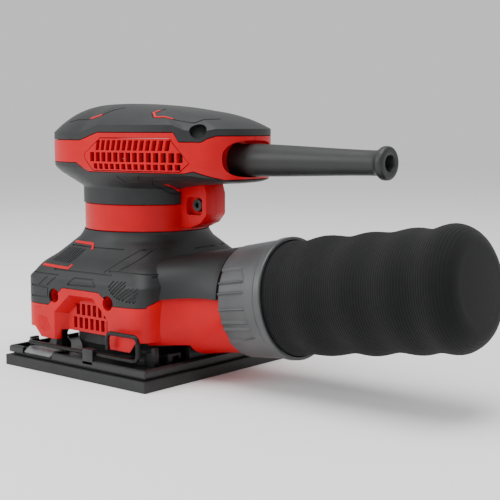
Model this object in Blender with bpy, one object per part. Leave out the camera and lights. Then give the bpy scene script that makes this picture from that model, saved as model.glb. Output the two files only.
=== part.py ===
"""Quarter-sheet palm sander with a dust bag, as an assembly of its separate pieces.

Metres, +Z up. The motor axis is the Z axis, +X points to the rear (cord boot and dust bag), and
the underside of the backing pad lies in the plane Z = 0.
"""

import math

import bmesh
import bpy
import numpy as np
from mathutils import Matrix, Vector

MM = 0.001

# Fits
GAP = 0.3 * MM  # clearance between pieces that touch
HALF_SPLIT = 0.15 * MM  # each housing half stands back this much from the split plane
AIR_GAP = 0.7 * MM  # between armature and field poles

# Backing pad and platen
PAD_LENGTH = 108 * MM
PAD_WIDTH = 114 * MM
PAD_THICK = 5.6 * MM
ORBIT = 0.8 * MM  # eccentric offset: half of the orbit's diameter
PLATEN_STEP_IN = 3.2 * MM  # groove under the rim stands in this far from the pad's edge
PLATEN_RIM_IN = 1.6 * MM  # rim stands in this far from the pad's edge
PLATEN_GROOVE = 1.1 * MM
PLATEN_RIM_HIGH = 3.8 * MM
PLATEN_RIM_THICK = 2.2 * MM
PLATEN_FLOOR = 1.6 * MM
DUST_HOLE_R = 3 * MM
DUST_HOLE_PITCH = 22 * MM

# Clamp levers (bent wire) and jaws (bent strip)
WIRE_R = 1.1 * MM
WIRE_IN = 4.2 * MM  # wire's centre line stands in this far from the pad's edge
WIRE_Z = 13.8 * MM
WIRE_FRONT = -39.5 * MM
WIRE_CRANK = 7 * MM
LOOP_FRONT = 23.4 * MM
LOOP_REAR = 45.2 * MM
LOOP_TOP = 26.2 * MM
LOOP_END = 17.6 * MM
WIRE_BEND = 3.2 * MM
HOOK_X = 11 * MM
HOOK_LONG = 7.6 * MM
JAW_FRONT = -40 * MM
JAW_REAR = -18 * MM
JAW_THICK = 0.9 * MM

# Drive, from the platen up
PLATEN_BEARING = (11 * MM, 4 * MM, 7 * MM)  # outer radius, bore radius, width
PLATEN_BEARING_Z = 11.8 * MM
CUP_WALL = 2.6 * MM
SHAFT_R = 4 * MM
SHAFT_TOP_R = 3 * MM
SHAFT_LOW = 22.4 * MM
HUB_R = 9 * MM
FAN_R = 35 * MM
FAN_LOW = 26 * MM
FAN_BLADE = 6 * MM
FAN_DISC = 2 * MM
FAN_BLADES = 10
LOWER_BEARING = (11 * MM, 4 * MM, 7 * MM)
LOWER_BEARING_Z = 50.4 * MM
STACK_LOW = 63 * MM
STACK_HIGH = 85 * MM
ARMATURE_R = 14.6 * MM
POLE_HALF = 9.5 * MM
COIL_SIDE = 3.4 * MM
COMMUTATOR_R = 10 * MM
COMMUTATOR_Z = (91.6 * MM, 101.6 * MM)
BRUSH_END = 28.8 * MM  # outer end of the brush boxes
UPPER_BEARING = (9.5 * MM, 3 * MM, 6 * MM)
UPPER_BEARING_Z = 108.5 * MM
CUP_RUBBER = 1.8 * MM

# Housing: overall sizes of its sections
SKIRT_X = 45.8 * MM
SKIRT_Y = 49.3 * MM
SKIRT_LOW = 22 * MM
SHOULDER_EDGE = 49.5 * MM
BAND_R = 33.4 * MM
BAND_LOW = 74.6 * MM
BAND_HIGH = 88.7 * MM
NECK_R = 34 * MM
HEAD_LOW = 97 * MM
HEAD_CENTRE = -12 * MM
HEAD_FRONT_R = 41.5 * MM
HEAD_HALF = 41.5 * MM
HEAD_REAR_R = 89 * MM
HEAD_EDGE = 127 * MM
HEAD_TOP = 141.5 * MM
HEAD_TAIL_DROP = 2.5 * MM
RECESS = 2.0 * MM  # depth of the seats of the soft overmoulds
WALL = 2.4 * MM
FLOOR_UP = 0.4 * MM
FLOOR_THICK = 2 * MM
FLOOR_HOLE_R = 31 * MM
BRIDGE_Z = 103.2 * MM  # bar across the head that carries the upper bearing
BRIDGE_THICK = 2.8 * MM
BRIDGE_HALF = 35.4 * MM
STEP_Z = 58.4 * MM  # ledge that the bearing plate bears on

# Dust port, collar and bag, about one tilted axis
PORT_TILT = math.radians(8.4)
PORT_AT = Vector((68 * MM, 0, 40 * MM))  # point of the axis at the collar's small end
PORT_R = 26 * MM
PORT_BORE = 23.6 * MM
PORT_END = 17 * MM  # port reaches this far into the collar
PORT_FLAT = 19.6 * MM  # height of the port's flat underside over the platen
PORT_COVER = 1.7 * MM
COLLAR_LONG = 37 * MM
COLLAR_FROM = 8.5 * MM
COLLAR_R = (28 * MM, 30.4 * MM)
BAG_R = 28.2 * MM
BAG_END = 143 * MM
BAG_WALL = 1.2 * MM
BAG_TUCK = 12 * MM
RING_WALL = 1.4 * MM

# Cord boot
BOOT_Z = 112.5 * MM
BOOT_R = 8.2 * MM
BOOT_TIP_R = 5.9 * MM
BOOT_BEAD_R = 7.9 * MM
BOOT_FROM = 57 * MM
BOOT_TO = 157 * MM
BOOT_BORE = 3.65 * MM
BOOT_FLANGE = (10.5 * MM, 3 * MM)
DISH_X = 65.5 * MM

# Clamp for the lead, inside the head
CLAMP_X = 46 * MM
CLAMP_Y = 4.2 * MM
CLAMP_THICK = 2.4 * MM
CLAMP_REACH = 7.2 * MM
CLAMP_EDGE = 2.8 * MM
CLAMP_HALF_X = 3.6 * MM
CLAMP_POST_R = 2.7 * MM
CLAMP_SCREW_R = 1.3 * MM

# Legs, screws, switch
LEG_X = 34 * MM
LEG_Y = 34.5 * MM
LEG_R = 6.2 * MM
LEG_WAIST = 4.4 * MM
STUD_R = 2.5 * MM
SCREW_HEAD_R = 3.1 * MM
SCREW_R = 1.7 * MM
SCREW_WELL_R = 3.5 * MM
BOSS_R = 4.6 * MM
ROCKER_Z = 116.3 * MM
ROCKER_PIVOT_X = -45.6 * MM
ROCKER_REACH = 7 * MM
ROCKER_HALF_Z = 3.7 * MM
ROCKER_HALF_Y = 6 * MM
ROCKER_OFF = math.radians(-6)
BEZEL = 1.6 * MM

ROUND = 20  # sides of a round piece
FINE = 32  # points round the housing
PORT_SIDES = 24

for item in list(bpy.data.objects):
    bpy.data.objects.remove(item)


# ---------------------------------------------------------------- tools


def material(name, colour, roughness, metallic=0.0):
    """A Principled material; colour is linear red, green and blue."""
    found = bpy.data.materials.get(name)
    if found:
        return found
    made = bpy.data.materials.new(name)
    made.use_nodes = True
    shader = made.node_tree.nodes["Principled BSDF"]
    shader.inputs["Base Color"].default_value = (*colour, 1)
    shader.inputs["Roughness"].default_value = roughness
    shader.inputs["Metallic"].default_value = metallic
    made.diffuse_color = (*colour, 1)
    return made


RED = material("red ABS", (0.72, 0.028, 0.03), 0.38)
BLACK_TPE = material("black TPE", (0.07, 0.072, 0.072), 0.55)
BLACK_PLASTIC = material("black nylon", (0.03, 0.03, 0.032), 0.45)
GREY_PLASTIC = material("grey polypropylene", (0.2, 0.2, 0.2), 0.4)
PAD_FOAM = material("pad elastomer", (0.06, 0.062, 0.062), 0.7)
RUBBER = material("black rubber", (0.02, 0.02, 0.02), 0.6)
CLOTH = material("knitted cloth", (0.015, 0.017, 0.017), 0.95)
STEEL = material("bright steel", (0.6, 0.6, 0.6), 0.25, 1.0)
BLACK_WIRE = material("blackened wire", (0.05, 0.05, 0.05), 0.35, 0.6)
SPRING_STEEL = material("spring strip", (0.42, 0.42, 0.42), 0.4, 0.5)
LAMINATION = material("lamination steel", (0.3, 0.31, 0.33), 0.5, 0.8)
COPPER = material("enamelled copper", (0.6, 0.22, 0.08), 0.35, 0.8)
BRASS = material("brass", (0.6, 0.42, 0.14), 0.3, 1.0)
CARBON = material("carbon", (0.02, 0.02, 0.022), 0.7)
ALUMINIUM = material("cast aluminium", (0.5, 0.5, 0.52), 0.45, 1.0)
YELLOW = material("capacitor case", (0.7, 0.5, 0.05), 0.5)


def add_mesh(name, points, faces, finish, smooth=True):
    """A mesh object whose faces are turned to point out of the closed shape."""
    mesh = bpy.data.meshes.new(name)
    mesh.from_pydata([tuple(p) for p in points], [], faces)
    work = bmesh.new()
    work.from_mesh(mesh)
    bmesh.ops.remove_doubles(work, verts=work.verts, dist=1e-6)
    bmesh.ops.recalc_face_normals(work, faces=work.faces)
    if work.calc_volume(signed=True) < 0:
        bmesh.ops.reverse_faces(work, faces=work.faces)
    bmesh.ops.triangulate(work, faces=work.faces)
    work.to_mesh(mesh)
    work.free()
    mesh.materials.append(finish)
    if smooth:
        mesh.shade_smooth()
        mesh.set_sharp_from_angle(angle=math.radians(35))
    made = bpy.data.objects.new(name, mesh)
    bpy.context.collection.objects.link(made)
    return made


def skin(i, j, size):
    """Triangles between rings i and j, always split the same way, so that offset skins stay parallel."""
    faces = []
    for k in range(size):
        m = (k + 1) % size
        faces += [(i * size + k, i * size + m, j * size + m), (i * size + k, j * size + m, j * size + k)]
    return faces


def loft(name, rings, finish, ring_closed=False):
    """Skins rings of equal length; the ends get flat caps, or the last ring joins the first."""
    rings = np.asarray(rings, float)
    count, size = rings.shape[:2]
    faces = []
    for i in range(count if ring_closed else count - 1):
        faces += skin(i, (i + 1) % count, size)
    if not ring_closed:
        faces.append(tuple(range(size))[::-1])
        faces.append(tuple((count - 1) * size + k for k in range(size)))
    return add_mesh(name, rings.reshape(-1, 3), faces, finish)


def circle(radius, centre, sides=ROUND, u=(1, 0, 0), v=(0, 1, 0)):
    """Points round a circle in the plane of the unit vectors u and v."""
    angle = np.linspace(0, 2 * math.pi, sides, endpoint=False)[:, None]
    return np.asarray(centre,
        float) + radius * (np.cos(angle) * np.asarray(u) + np.sin(angle) * np.asarray(v))


FRAMES = {
    "Z": ((1, 0, 0), (0, 1, 0), (0, 0, 1)),
    "X": ((0, 1, 0), (0, 0, 1), (1, 0, 0)),
    "Y": ((0, 0, 1), (1, 0, 0), (0, 1, 0)),
    "port": (
        (0, 1, 0),
        (-math.sin(PORT_TILT), 0, math.cos(PORT_TILT)),
        (math.cos(PORT_TILT), 0, math.sin(PORT_TILT)),
    ),
}


def turned(name, profile, finish, centre=(0, 0, 0), along="Z", sides=ROUND, hollow=False):
    """A turned piece: profile is (radius, distance along the axis), and runs back up its bore if hollow."""
    u, v, axis = FRAMES[along]
    rings = [circle(r, np.asarray(centre) + s * np.asarray(axis), sides, u, v) for r, s in profile]
    return loft(name, rings, finish, ring_closed=hollow)


def ring(name, outer, bore, low, high, finish, centre=(0, 0, 0), along="Z", sides=ROUND):
    """A plain ring between two planes across its axis."""
    profile = [(outer, low), (outer, high), (bore, high), (bore, low)]
    return turned(name, profile, finish, centre, along, sides, hollow=True)


def rod(name, radius, low, high, finish, centre=(0, 0, 0), along="Z", sides=ROUND):
    return turned(name, [(radius, low), (radius, high)], finish, centre, along, sides)


def box(name, low, high, finish):
    """An upright block between two corners."""
    x, y, z = zip(low, high)
    points = [(x[i], y[j], z[k]) for i in (0, 1) for j in (0, 1) for k in (0, 1)]
    faces = [(0, 1, 3, 2), (4, 6, 7, 5), (0, 4, 5, 1), (2, 3, 7, 6), (0, 2, 6, 4), (1, 5, 7, 3)]
    return add_mesh(name, points, faces, finish, smooth=False)


def prism(name, outline, low, high, finish, along="Z"):
    """An outline of (u, v) points carried from low to high along an axis: Z (x, y), Y (x, z) or X (y, z)."""
    place = {"Z": lambda a, b, s: (a, b, s), "Y": lambda a, b, s: (a, s, b), "X": lambda a, b,
        s: (s, a, b)}[along]
    rings = [[place(a, b, s) for a, b in outline] for s in (low, high)]
    return loft(name, rings, finish)


def rounded_path(points, radius, steps=4):
    """A path with its corners replaced by arcs of one radius."""
    points = [Vector(p) for p in points]
    path = [points[0]]
    for before, corner, after in zip(points, points[1:], points[2:]):
        a, b = (before - corner).normalized(), (after - corner).normalized()
        half = a.angle(b) / 2
        centre = corner + (a + b).normalized() * (radius / math.sin(half))
        start = (corner + a * (radius / math.tan(half)) - centre).normalized()
        end = (corner + b * (radius / math.tan(half)) - centre).normalized()
        for step in range(steps + 1):
            path.append(centre + (start * (steps - step) + end * step).normalized() * radius)
    path.append(points[-1])
    return path


def swept(name, path, radius, finish, sides=8):
    """A round bar along a path, its section carried without twist."""
    path = [Vector(p) for p in path]
    rings = []
    side = Vector((0, 0, 1)) if abs((path[1] - path[0]).normalized().z) < 0.9 else Vector((1, 0, 0))
    for i, point in enumerate(path):
        ahead = (path[min(i + 1, len(path) - 1)] - path[max(i - 1, 0)]).normalized()
        side = (side - ahead * side.dot(ahead)).normalized()
        rings.append(circle(radius, point, sides, tuple(side), tuple(ahead.cross(side))))
    return loft(name, rings, finish)


def tidy(mesh):
    """Joins faces that lie in one plane, then leaves triangles only, with no tiny edges."""
    work = bmesh.new()
    work.from_mesh(mesh)
    bmesh.ops.remove_doubles(work, verts=work.verts, dist=2e-6)
    bmesh.ops.dissolve_degenerate(work, edges=work.edges, dist=2e-6)
    bmesh.ops.dissolve_limit(work, angle_limit=math.radians(0.2), verts=work.verts, edges=work.edges)
    bmesh.ops.triangulate(work, faces=work.faces)
    work.to_mesh(mesh)
    work.free()


def combine(target, tool, operation="DIFFERENCE"):
    """Applies one Boolean with a second solid, which is used up."""
    modifier = target.modifiers.new("combine", "BOOLEAN")
    modifier.operation = operation
    modifier.solver = "MANIFOLD"
    modifier.object = tool
    graph = bpy.context.evaluated_depsgraph_get()
    result = bpy.data.meshes.new_from_object(target.evaluated_get(graph))
    target.modifiers.clear()
    finish = target.data.materials[0]
    target.data = result
    result.materials.clear()
    result.materials.append(finish)
    tidy(result)
    bpy.data.objects.remove(tool)
    return target


def duplicate(source, name):
    """A second object with its own copy of the mesh."""
    made = bpy.data.objects.new(name, source.data.copy())
    bpy.context.collection.objects.link(made)
    return made


def mirrored(source, name):
    """The same piece on the other side of the XZ plane."""
    mesh = source.data.copy()
    mesh.transform(Matrix.Scale(-1, 4, (0, 1, 0)))
    mesh.flip_normals()
    made = bpy.data.objects.new(name, mesh)
    bpy.context.collection.objects.link(made)
    return made


def put_origin(piece, point):
    """Moves a piece's origin to a joint's axis and leaves the shape where it is."""
    piece.data.transform(Matrix.Translation(-Vector(point)))
    piece.location = point


# ---------------------------------------------------------------- the housing's surface


NECK = (0, NECK_R, NECK_R, NECK_R, 2, 2)
HEAD = (HEAD_CENTRE, HEAD_FRONT_R, HEAD_REAR_R, HEAD_HALF, 2, 2.5)


def square(share_x, share_y, power):
    """A section of the skirt or shoulder as centre, front, rear, half width and the two powers."""
    return (0, SKIRT_X * share_x, SKIRT_X * share_x, SKIRT_Y * share_y, power, power)


def between(low, high, share):
    return tuple(a + (b - a) * share for a, b in zip(low, high))


# Height, then the section there.
SHOULDER_RISE = BAND_LOW - SHOULDER_EDGE
STATIONS = [
    (SKIRT_LOW, square(1, 1, 10)),
    (SHOULDER_EDGE, square(1, 1, 10)),
    (SHOULDER_EDGE + 0.08 * SHOULDER_RISE, square(0.974, 0.976, 9)),
    (SHOULDER_EDGE + 0.26 * SHOULDER_RISE, square(0.917, 0.919, 8)),
    (SHOULDER_EDGE + 0.48 * SHOULDER_RISE, square(0.82, 0.81, 5)),
    (SHOULDER_EDGE + 0.72 * SHOULDER_RISE, square(0.76, 0.73, 3)),
    (SHOULDER_EDGE + 0.84 * SHOULDER_RISE, square(0.747, 0.706, 2.3)),
    (BAND_LOW, NECK),
    (HEAD_LOW, NECK),
    (HEAD_LOW + 3 * MM, between(NECK, HEAD, 0.25)),
    (HEAD_LOW + 5.3 * MM, between(NECK, HEAD, 0.49)),
    (HEAD_LOW + 8.6 * MM, between(NECK, HEAD, 0.81)),
    (HEAD_LOW + 11.7 * MM, between(NECK, HEAD, 0.98)),
    (HEAD_LOW + 15 * MM, HEAD),
    (HEAD_EDGE - 4.5 * MM, HEAD),
]
DOME_SHARES = (0.965, 0.86, 0.68, 0.36)
LIP_SINK = 7 * MM  # the head's underside sinks this much at its rear end


def section(cx, front, rear, half, power_front, power_rear, inset=0.0):
    """A superellipse round a shifted centre, closer spaced near the skirt's corners."""
    even = np.linspace(0, 2 * math.pi, FINE, endpoint=False)
    angle = even + 0.5 * np.sin(4 * even) / 4
    c, s = np.cos(angle), np.sin(angle)
    power = np.where(c < 0, power_front, power_rear)
    reach = np.where(c < 0, front, rear) - inset
    radius = (np.abs(c / reach) ** power + np.abs(s / (half - inset)) ** power) ** (-1 / power)
    return cx + radius * c, radius * s, c


def body_rings(inset, low=None):
    """Rings of the housing's outer surface, moved inwards by inset, from the skirt to the crown."""
    rings = []
    for height, values in STATIONS:
        x, y, _ = section(*values, inset=inset)
        sink = LIP_SINK * np.interp((height - HEAD_LOW) / MM, (-3, 1, 11.7, 15, 21), (0, 1, 1, 0.6, 0))
        z = height - sink * np.clip(x / (HEAD_CENTRE + HEAD_REAR_R), 0, 1) ** 3
        rings.append(np.stack([x, y, z], 1))
    if low is not None:
        rings[0][:, 2] = low
    edge_x, edge_y, c = section(*HEAD, inset=inset)
    for share in DOME_SHARES:
        x = HEAD_CENTRE + (edge_x - HEAD_CENTRE) * share
        crown = HEAD_TOP - inset - HEAD_TAIL_DROP * np.clip(x / (40 * MM), 0, 1)
        fullness = 2.8 + 1.2 * ((1 + c) / 2) ** 2
        base = HEAD_EDGE - 0.7 * inset
        rings.append(np.stack([x, edge_y * share, base + (crown - base) * (1 - share**fullness)], 1))
    return rings


def body_solid(name, inset, finish, low=None):
    """The housing's outer shape as one solid, closed over the crown by a fan round one point."""
    rings = np.asarray(body_rings(inset, low))
    count, size = rings.shape[:2]
    faces = [tuple(range(size))[::-1]]
    for i in range(count - 1):
        faces += skin(i, i + 1, size)
    crown = count * size
    faces += [((count - 1) * size + k, (count - 1) * size + (k + 1) % size, crown) for k in range(size)]
    points = np.vstack([rings.reshape(-1, 3), [[HEAD_CENTRE, 0, HEAD_TOP - inset]]])
    return add_mesh(name, points, faces, finish)


def shoulder_line(x, y):
    """Height of the seam between the red skirt and the black shoulder, by the place on the outline."""
    side = np.interp(
        x / MM, (-46, -26, -14.5, 14.5, 23, 46), (34.8, 34.8, 44.9, 44.9, 38.8, 39.8)
    )
    rear = np.interp(np.abs(y) / MM, (0, 27, 36, 48), (47, 45, 44, 39.8))
    return np.where(x > SKIRT_X * 0.9, rear, side) * MM


def crown_line(x, y):
    """Height of the seam between the red band of the head and the black palm grip."""
    return np.interp(x / MM, (-8, 6, 51, 54, 65, 70), (122.2, 126, 126, 121.5, 121.5, 124.3)) * MM


def under_line(x, y):
    """Height of the seam between the red band of the head and the black neck grip."""
    return np.interp(x / MM, (-9, -2, 56, 62, 68), (110.5, 105.8, 105.8, 104, 101)) * MM


def zone(name, low, high, outline, shrink=0.0):
    """A ring-shaped space between two seams, wider than the housing, that a soft overmould fills.

    low and high are heights or seam functions; shrink takes the seam clearance off both.
    """
    x, y, _ = section(*outline)
    reach = np.hypot(x, y)
    level = [(s(x, y) if callable(s) else np.full(FINE, s)) for s in (low, high)]
    level = [level[0] + shrink, level[1] - shrink]
    inner, outer = 22 * MM / reach, 130 * MM / reach
    rings = [
        np.stack([x * k, y * k, z], 1)
        for k, z in ((inner, level[0]), (outer, level[0]), (outer, level[1]), (inner, level[1]))
    ]
    return loft(name, rings, BLACK_TPE, ring_closed=True)


SKIRT = square(1, 1, 10)
ABOVE = HEAD_TOP + 20 * MM


def cap_zone(name, shrink=0.0):
    """The space above the crown seam, closed over the axis."""
    x, y, _ = section(*HEAD)
    level = crown_line(x, y) + shrink
    rings = [
        np.stack([HEAD_CENTRE + (x - HEAD_CENTRE) * k, y * k, z], 1)
        for k, z in ((0.02, level), (1.6, level), (1.6, np.full(FINE, ABOVE)),
            (0.02, np.full(FINE, ABOVE)))
    ]
    return loft(name, rings, BLACK_TPE)


def port_rod(name, radius, start, end, finish=RED):
    """A round bar on the dust port's axis, measured from the collar's small end."""
    return rod(name, radius, start, end, finish, PORT_AT, "port", PORT_SIDES)


# ---------------------------------------------------------------- backing pad and platen


def dust_holes():
    """Places of the eight suction holes, which leave the middle of the pad whole."""
    grid = [(i * DUST_HOLE_PITCH, j * DUST_HOLE_PITCH) for i in (-1, 0, 1) for j in (-1, 0, 1)]
    return [(ORBIT + x, y) for x, y in grid if (x, y) != (0, 0)]


def drill_dust_holes(piece, low, high):
    for x, y in dust_holes():
        combine(piece, rod("drill", DUST_HOLE_R, low - MM, high + MM, piece.data.materials[0],
            (x, y, 0), sides=12))


PLATEN_LOW = PAD_THICK + GAP
RIM_LOW = PLATEN_LOW + PLATEN_GROOVE
RIM_HIGH = RIM_LOW + PLATEN_RIM_HIGH
FLOOR_Z = RIM_LOW + PLATEN_FLOOR


def plate(name, step_in, low, high, finish, chamfer=0.0):
    """A rectangular plate that stands in from the pad's outline, its top edge chamfered."""
    hx, hy = PAD_LENGTH / 2 - step_in, PAD_WIDTH / 2 - step_in

    def corners(shrink, z):
        a, b = hx - shrink, hy - shrink
        return [(ORBIT + i * a, j * b, z) for i, j in ((-1, -1), (1, -1), (1, 1), (-1, 1))]

    rings = [corners(0, low), corners(0, high - chamfer)]
    if chamfer:
        rings.append(corners(chamfer, high))
    return loft(name, rings, finish)


def make_pad():
    pad = plate("backing_pad", 0, 0, PAD_THICK, PAD_FOAM)
    drill_dust_holes(pad, 0, PAD_THICK)


def hook(side):
    """The tab on the rim that holds the lever's wire down: an upright and a lip over the wire."""
    outer = PAD_WIDTH / 2 - PLATEN_RIM_IN
    wire_y = PAD_WIDTH / 2 - WIRE_IN
    inner = wire_y + WIRE_R + GAP
    lip = WIRE_Z + WIRE_R + GAP
    outline = [
        (outer, FLOOR_Z), (outer, lip + 1.2 * MM), (wire_y - WIRE_R, lip + 1.2 * MM),
        (wire_y - WIRE_R, lip), (inner, lip), (inner, FLOOR_Z),
    ]
    x = ORBIT + HOOK_X
    return prism("hook", [(side * y, z) for y, z in outline], x - HOOK_LONG / 2, x + HOOK_LONG / 2,
        BLACK_PLASTIC, "X")


def make_platen():
    """Moulded tray: groove step, rim, floor, bearing cup, hooks, crank bosses and rear ribs."""
    platen = plate("platen", PLATEN_STEP_IN, PLATEN_LOW, RIM_LOW + MM, BLACK_PLASTIC)
    combine(platen, plate("rim", PLATEN_RIM_IN, RIM_LOW, RIM_HIGH, BLACK_PLASTIC, 0.8 * MM), "UNION")
    tray = plate("tray", PLATEN_RIM_IN + PLATEN_RIM_THICK, FLOOR_Z, RIM_HIGH + MM, BLACK_PLASTIC)
    combine(platen, tray)
    cup_r = PLATEN_BEARING[0] + GAP + CUP_WALL
    cup_top = PLATEN_BEARING_Z + PLATEN_BEARING[2]
    combine(platen, rod("cup", cup_r, FLOOR_Z - MM, cup_top, BLACK_PLASTIC, (ORBIT, 0, 0)), "UNION")
    seat = PLATEN_BEARING_Z - GAP
    combine(platen, rod("seat", PLATEN_BEARING[0] + GAP, seat, cup_top + MM, BLACK_PLASTIC,
        (ORBIT, 0, 0)))
    combine(platen, rod("eye", PLATEN_BEARING[0] - 2.5 * MM, 0, seat + MM, BLACK_PLASTIC, (ORBIT, 0, 0)))
    edge = PAD_WIDTH / 2 - PLATEN_RIM_IN
    rear_rib_x = ORBIT + PAD_LENGTH / 2 - 7.4 * MM
    ribs = [
        ((rear_rib_x, -20 * MM), (rear_rib_x + 2 * MM, 20 * MM), 17.4 * MM),
        ((rear_rib_x - 2 * MM, 30 * MM), (rear_rib_x + 1 * MM, 33 * MM), 15 * MM),
        ((rear_rib_x - 2 * MM, -33 * MM), (rear_rib_x + 1 * MM, -30 * MM), 15 * MM),
    ]
    for low, high, top in ribs:
        combine(platen, box("rib", (*low, FLOOR_Z - MM), (*high, top), BLACK_PLASTIC), "UNION")
    for side in (-1, 1):
        notch = [(JAW_FRONT - MM, side * (edge + MM)), (JAW_REAR + MM, side * (edge + MM)),
                 (JAW_REAR + MM, side * (edge - 4 * MM)), (JAW_FRONT - MM, side * (edge - 4 * MM))]
        notch = [(ORBIT + x, y) for x, y in notch]
        combine(platen, prism("notch", notch, RIM_LOW + 0.4 * MM, RIM_HIGH + MM, BLACK_PLASTIC))
        combine(platen, hook(side), "UNION")
        combine(platen, crank_boss(side), "UNION")
        combine(platen, jaw_ears(side), "UNION")
    drill_dust_holes(platen, PLATEN_LOW, FLOOR_Z)
    return platen


def crank_boss(side):
    """The post beside the end of the lever's crank; the wire turns in its fork."""
    y = PAD_WIDTH / 2 - WIRE_IN - WIRE_CRANK
    x = ORBIT + WIRE_FRONT
    low = (x - WIRE_R - GAP - 2.2 * MM, side * (y + 3 * MM), FLOOR_Z - 0.5 * MM)
    high = (x - WIRE_R - GAP, side * (y - 2 * MM), WIRE_Z + 1.6 * MM)
    return box("crank_boss", np.minimum(low, high), np.maximum(low, high), BLACK_PLASTIC)


JAW_Y = PAD_WIDTH / 2 - 12 * MM
JAW_Z = FLOOR_Z + 2 * MM
JAW_ROLL = 1.0 * MM


def jaw_ears(side):
    """A low rib under the jaw's roll, with an upstand at its inner side that keeps the roll in place."""
    outline = [
        (JAW_Y + 1 * MM, FLOOR_Z - 0.5 * MM), (JAW_Y + 1 * MM, JAW_Z - JAW_ROLL - GAP),
        (JAW_Y - JAW_ROLL - GAP, JAW_Z - JAW_ROLL - GAP), (JAW_Y - JAW_ROLL - GAP, JAW_Z + 0.6 * MM),
        (JAW_Y - JAW_ROLL - GAP - 1.4 * MM, JAW_Z + 0.6 * MM),
            (JAW_Y - JAW_ROLL - GAP - 1.4 * MM, FLOOR_Z - 0.5 * MM),
    ]
    return prism("ears", [(side * y, z) for y, z in outline], ORBIT + JAW_FRONT, ORBIT + JAW_REAR,
        BLACK_PLASTIC, "X")


def make_clamps():
    """Left and right levers and jaws; left is the -Y side."""
    wire_y = -(PAD_WIDTH / 2 - WIRE_IN)
    crank_y = wire_y + WIRE_CRANK
    route = [
        (WIRE_FRONT, crank_y, WIRE_Z), (WIRE_FRONT, wire_y, WIRE_Z), (LOOP_REAR, wire_y, WIRE_Z),
        (LOOP_REAR, wire_y, LOOP_TOP), (LOOP_FRONT, wire_y, LOOP_TOP), (LOOP_FRONT, wire_y, LOOP_END),
    ]
    route = [(x + ORBIT, y, z) for x, y, z in route]
    lever = swept("clamp_lever_left", rounded_path(route, WIRE_BEND), WIRE_R, BLACK_WIRE)
    other = mirrored(lever, "clamp_lever_right")
    tip_y = PAD_WIDTH / 2 - PLATEN_RIM_IN
    strip = [
        (JAW_Y + 0.4 * MM, JAW_Z + 0.5 * JAW_THICK), (tip_y - 3.6 * MM, JAW_Z + 0.5 * JAW_THICK),
        (tip_y, RIM_LOW + 1.6 * MM), (tip_y - 0.4 * MM, RIM_LOW + 0.8 * MM),
        (tip_y - 4.0 * MM, JAW_Z - 0.5 * JAW_THICK), (JAW_Y + 0.4 * MM, JAW_Z - 0.5 * JAW_THICK),
    ]
    low, high = ORBIT + JAW_FRONT + 0.4 * MM, ORBIT + JAW_REAR - 0.4 * MM
    jaw = prism("clamp_jaw_left", [(-y, z) for y, z in strip], low, high, SPRING_STEEL, "X")
    combine(jaw, rod("roll", JAW_ROLL, low, high, SPRING_STEEL, (0, -JAW_Y, JAW_Z), "X", 12), "UNION")
    jaw_right = mirrored(jaw, "clamp_jaw_right")
    for piece, side in ((lever, 1), (other, -1)):
        put_origin(piece, (ORBIT, side * wire_y, WIRE_Z))
    for piece, side in ((jaw, -1), (jaw_right, 1)):
        put_origin(piece, (ORBIT, side * JAW_Y, JAW_Z))


# ---------------------------------------------------------------- drive


def bearing(name, sizes, low, centre=(0, 0, 0)):
    """A ball bearing as one ring, with a shallow groove between the races on both faces."""
    outer, bore, width = sizes
    middle, race = (outer + bore) / 2, (outer - bore) / 4
    dip = 0.5 * MM
    profile = [
        (outer, 0), (outer, width), (middle + race, width), (middle, width - dip), (middle - race, width),
        (bore, width), (bore, 0), (middle, dip),
    ]
    turned(name, [(r, low + s) for r, s in profile], STEEL, centre, hollow=True)


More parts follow.
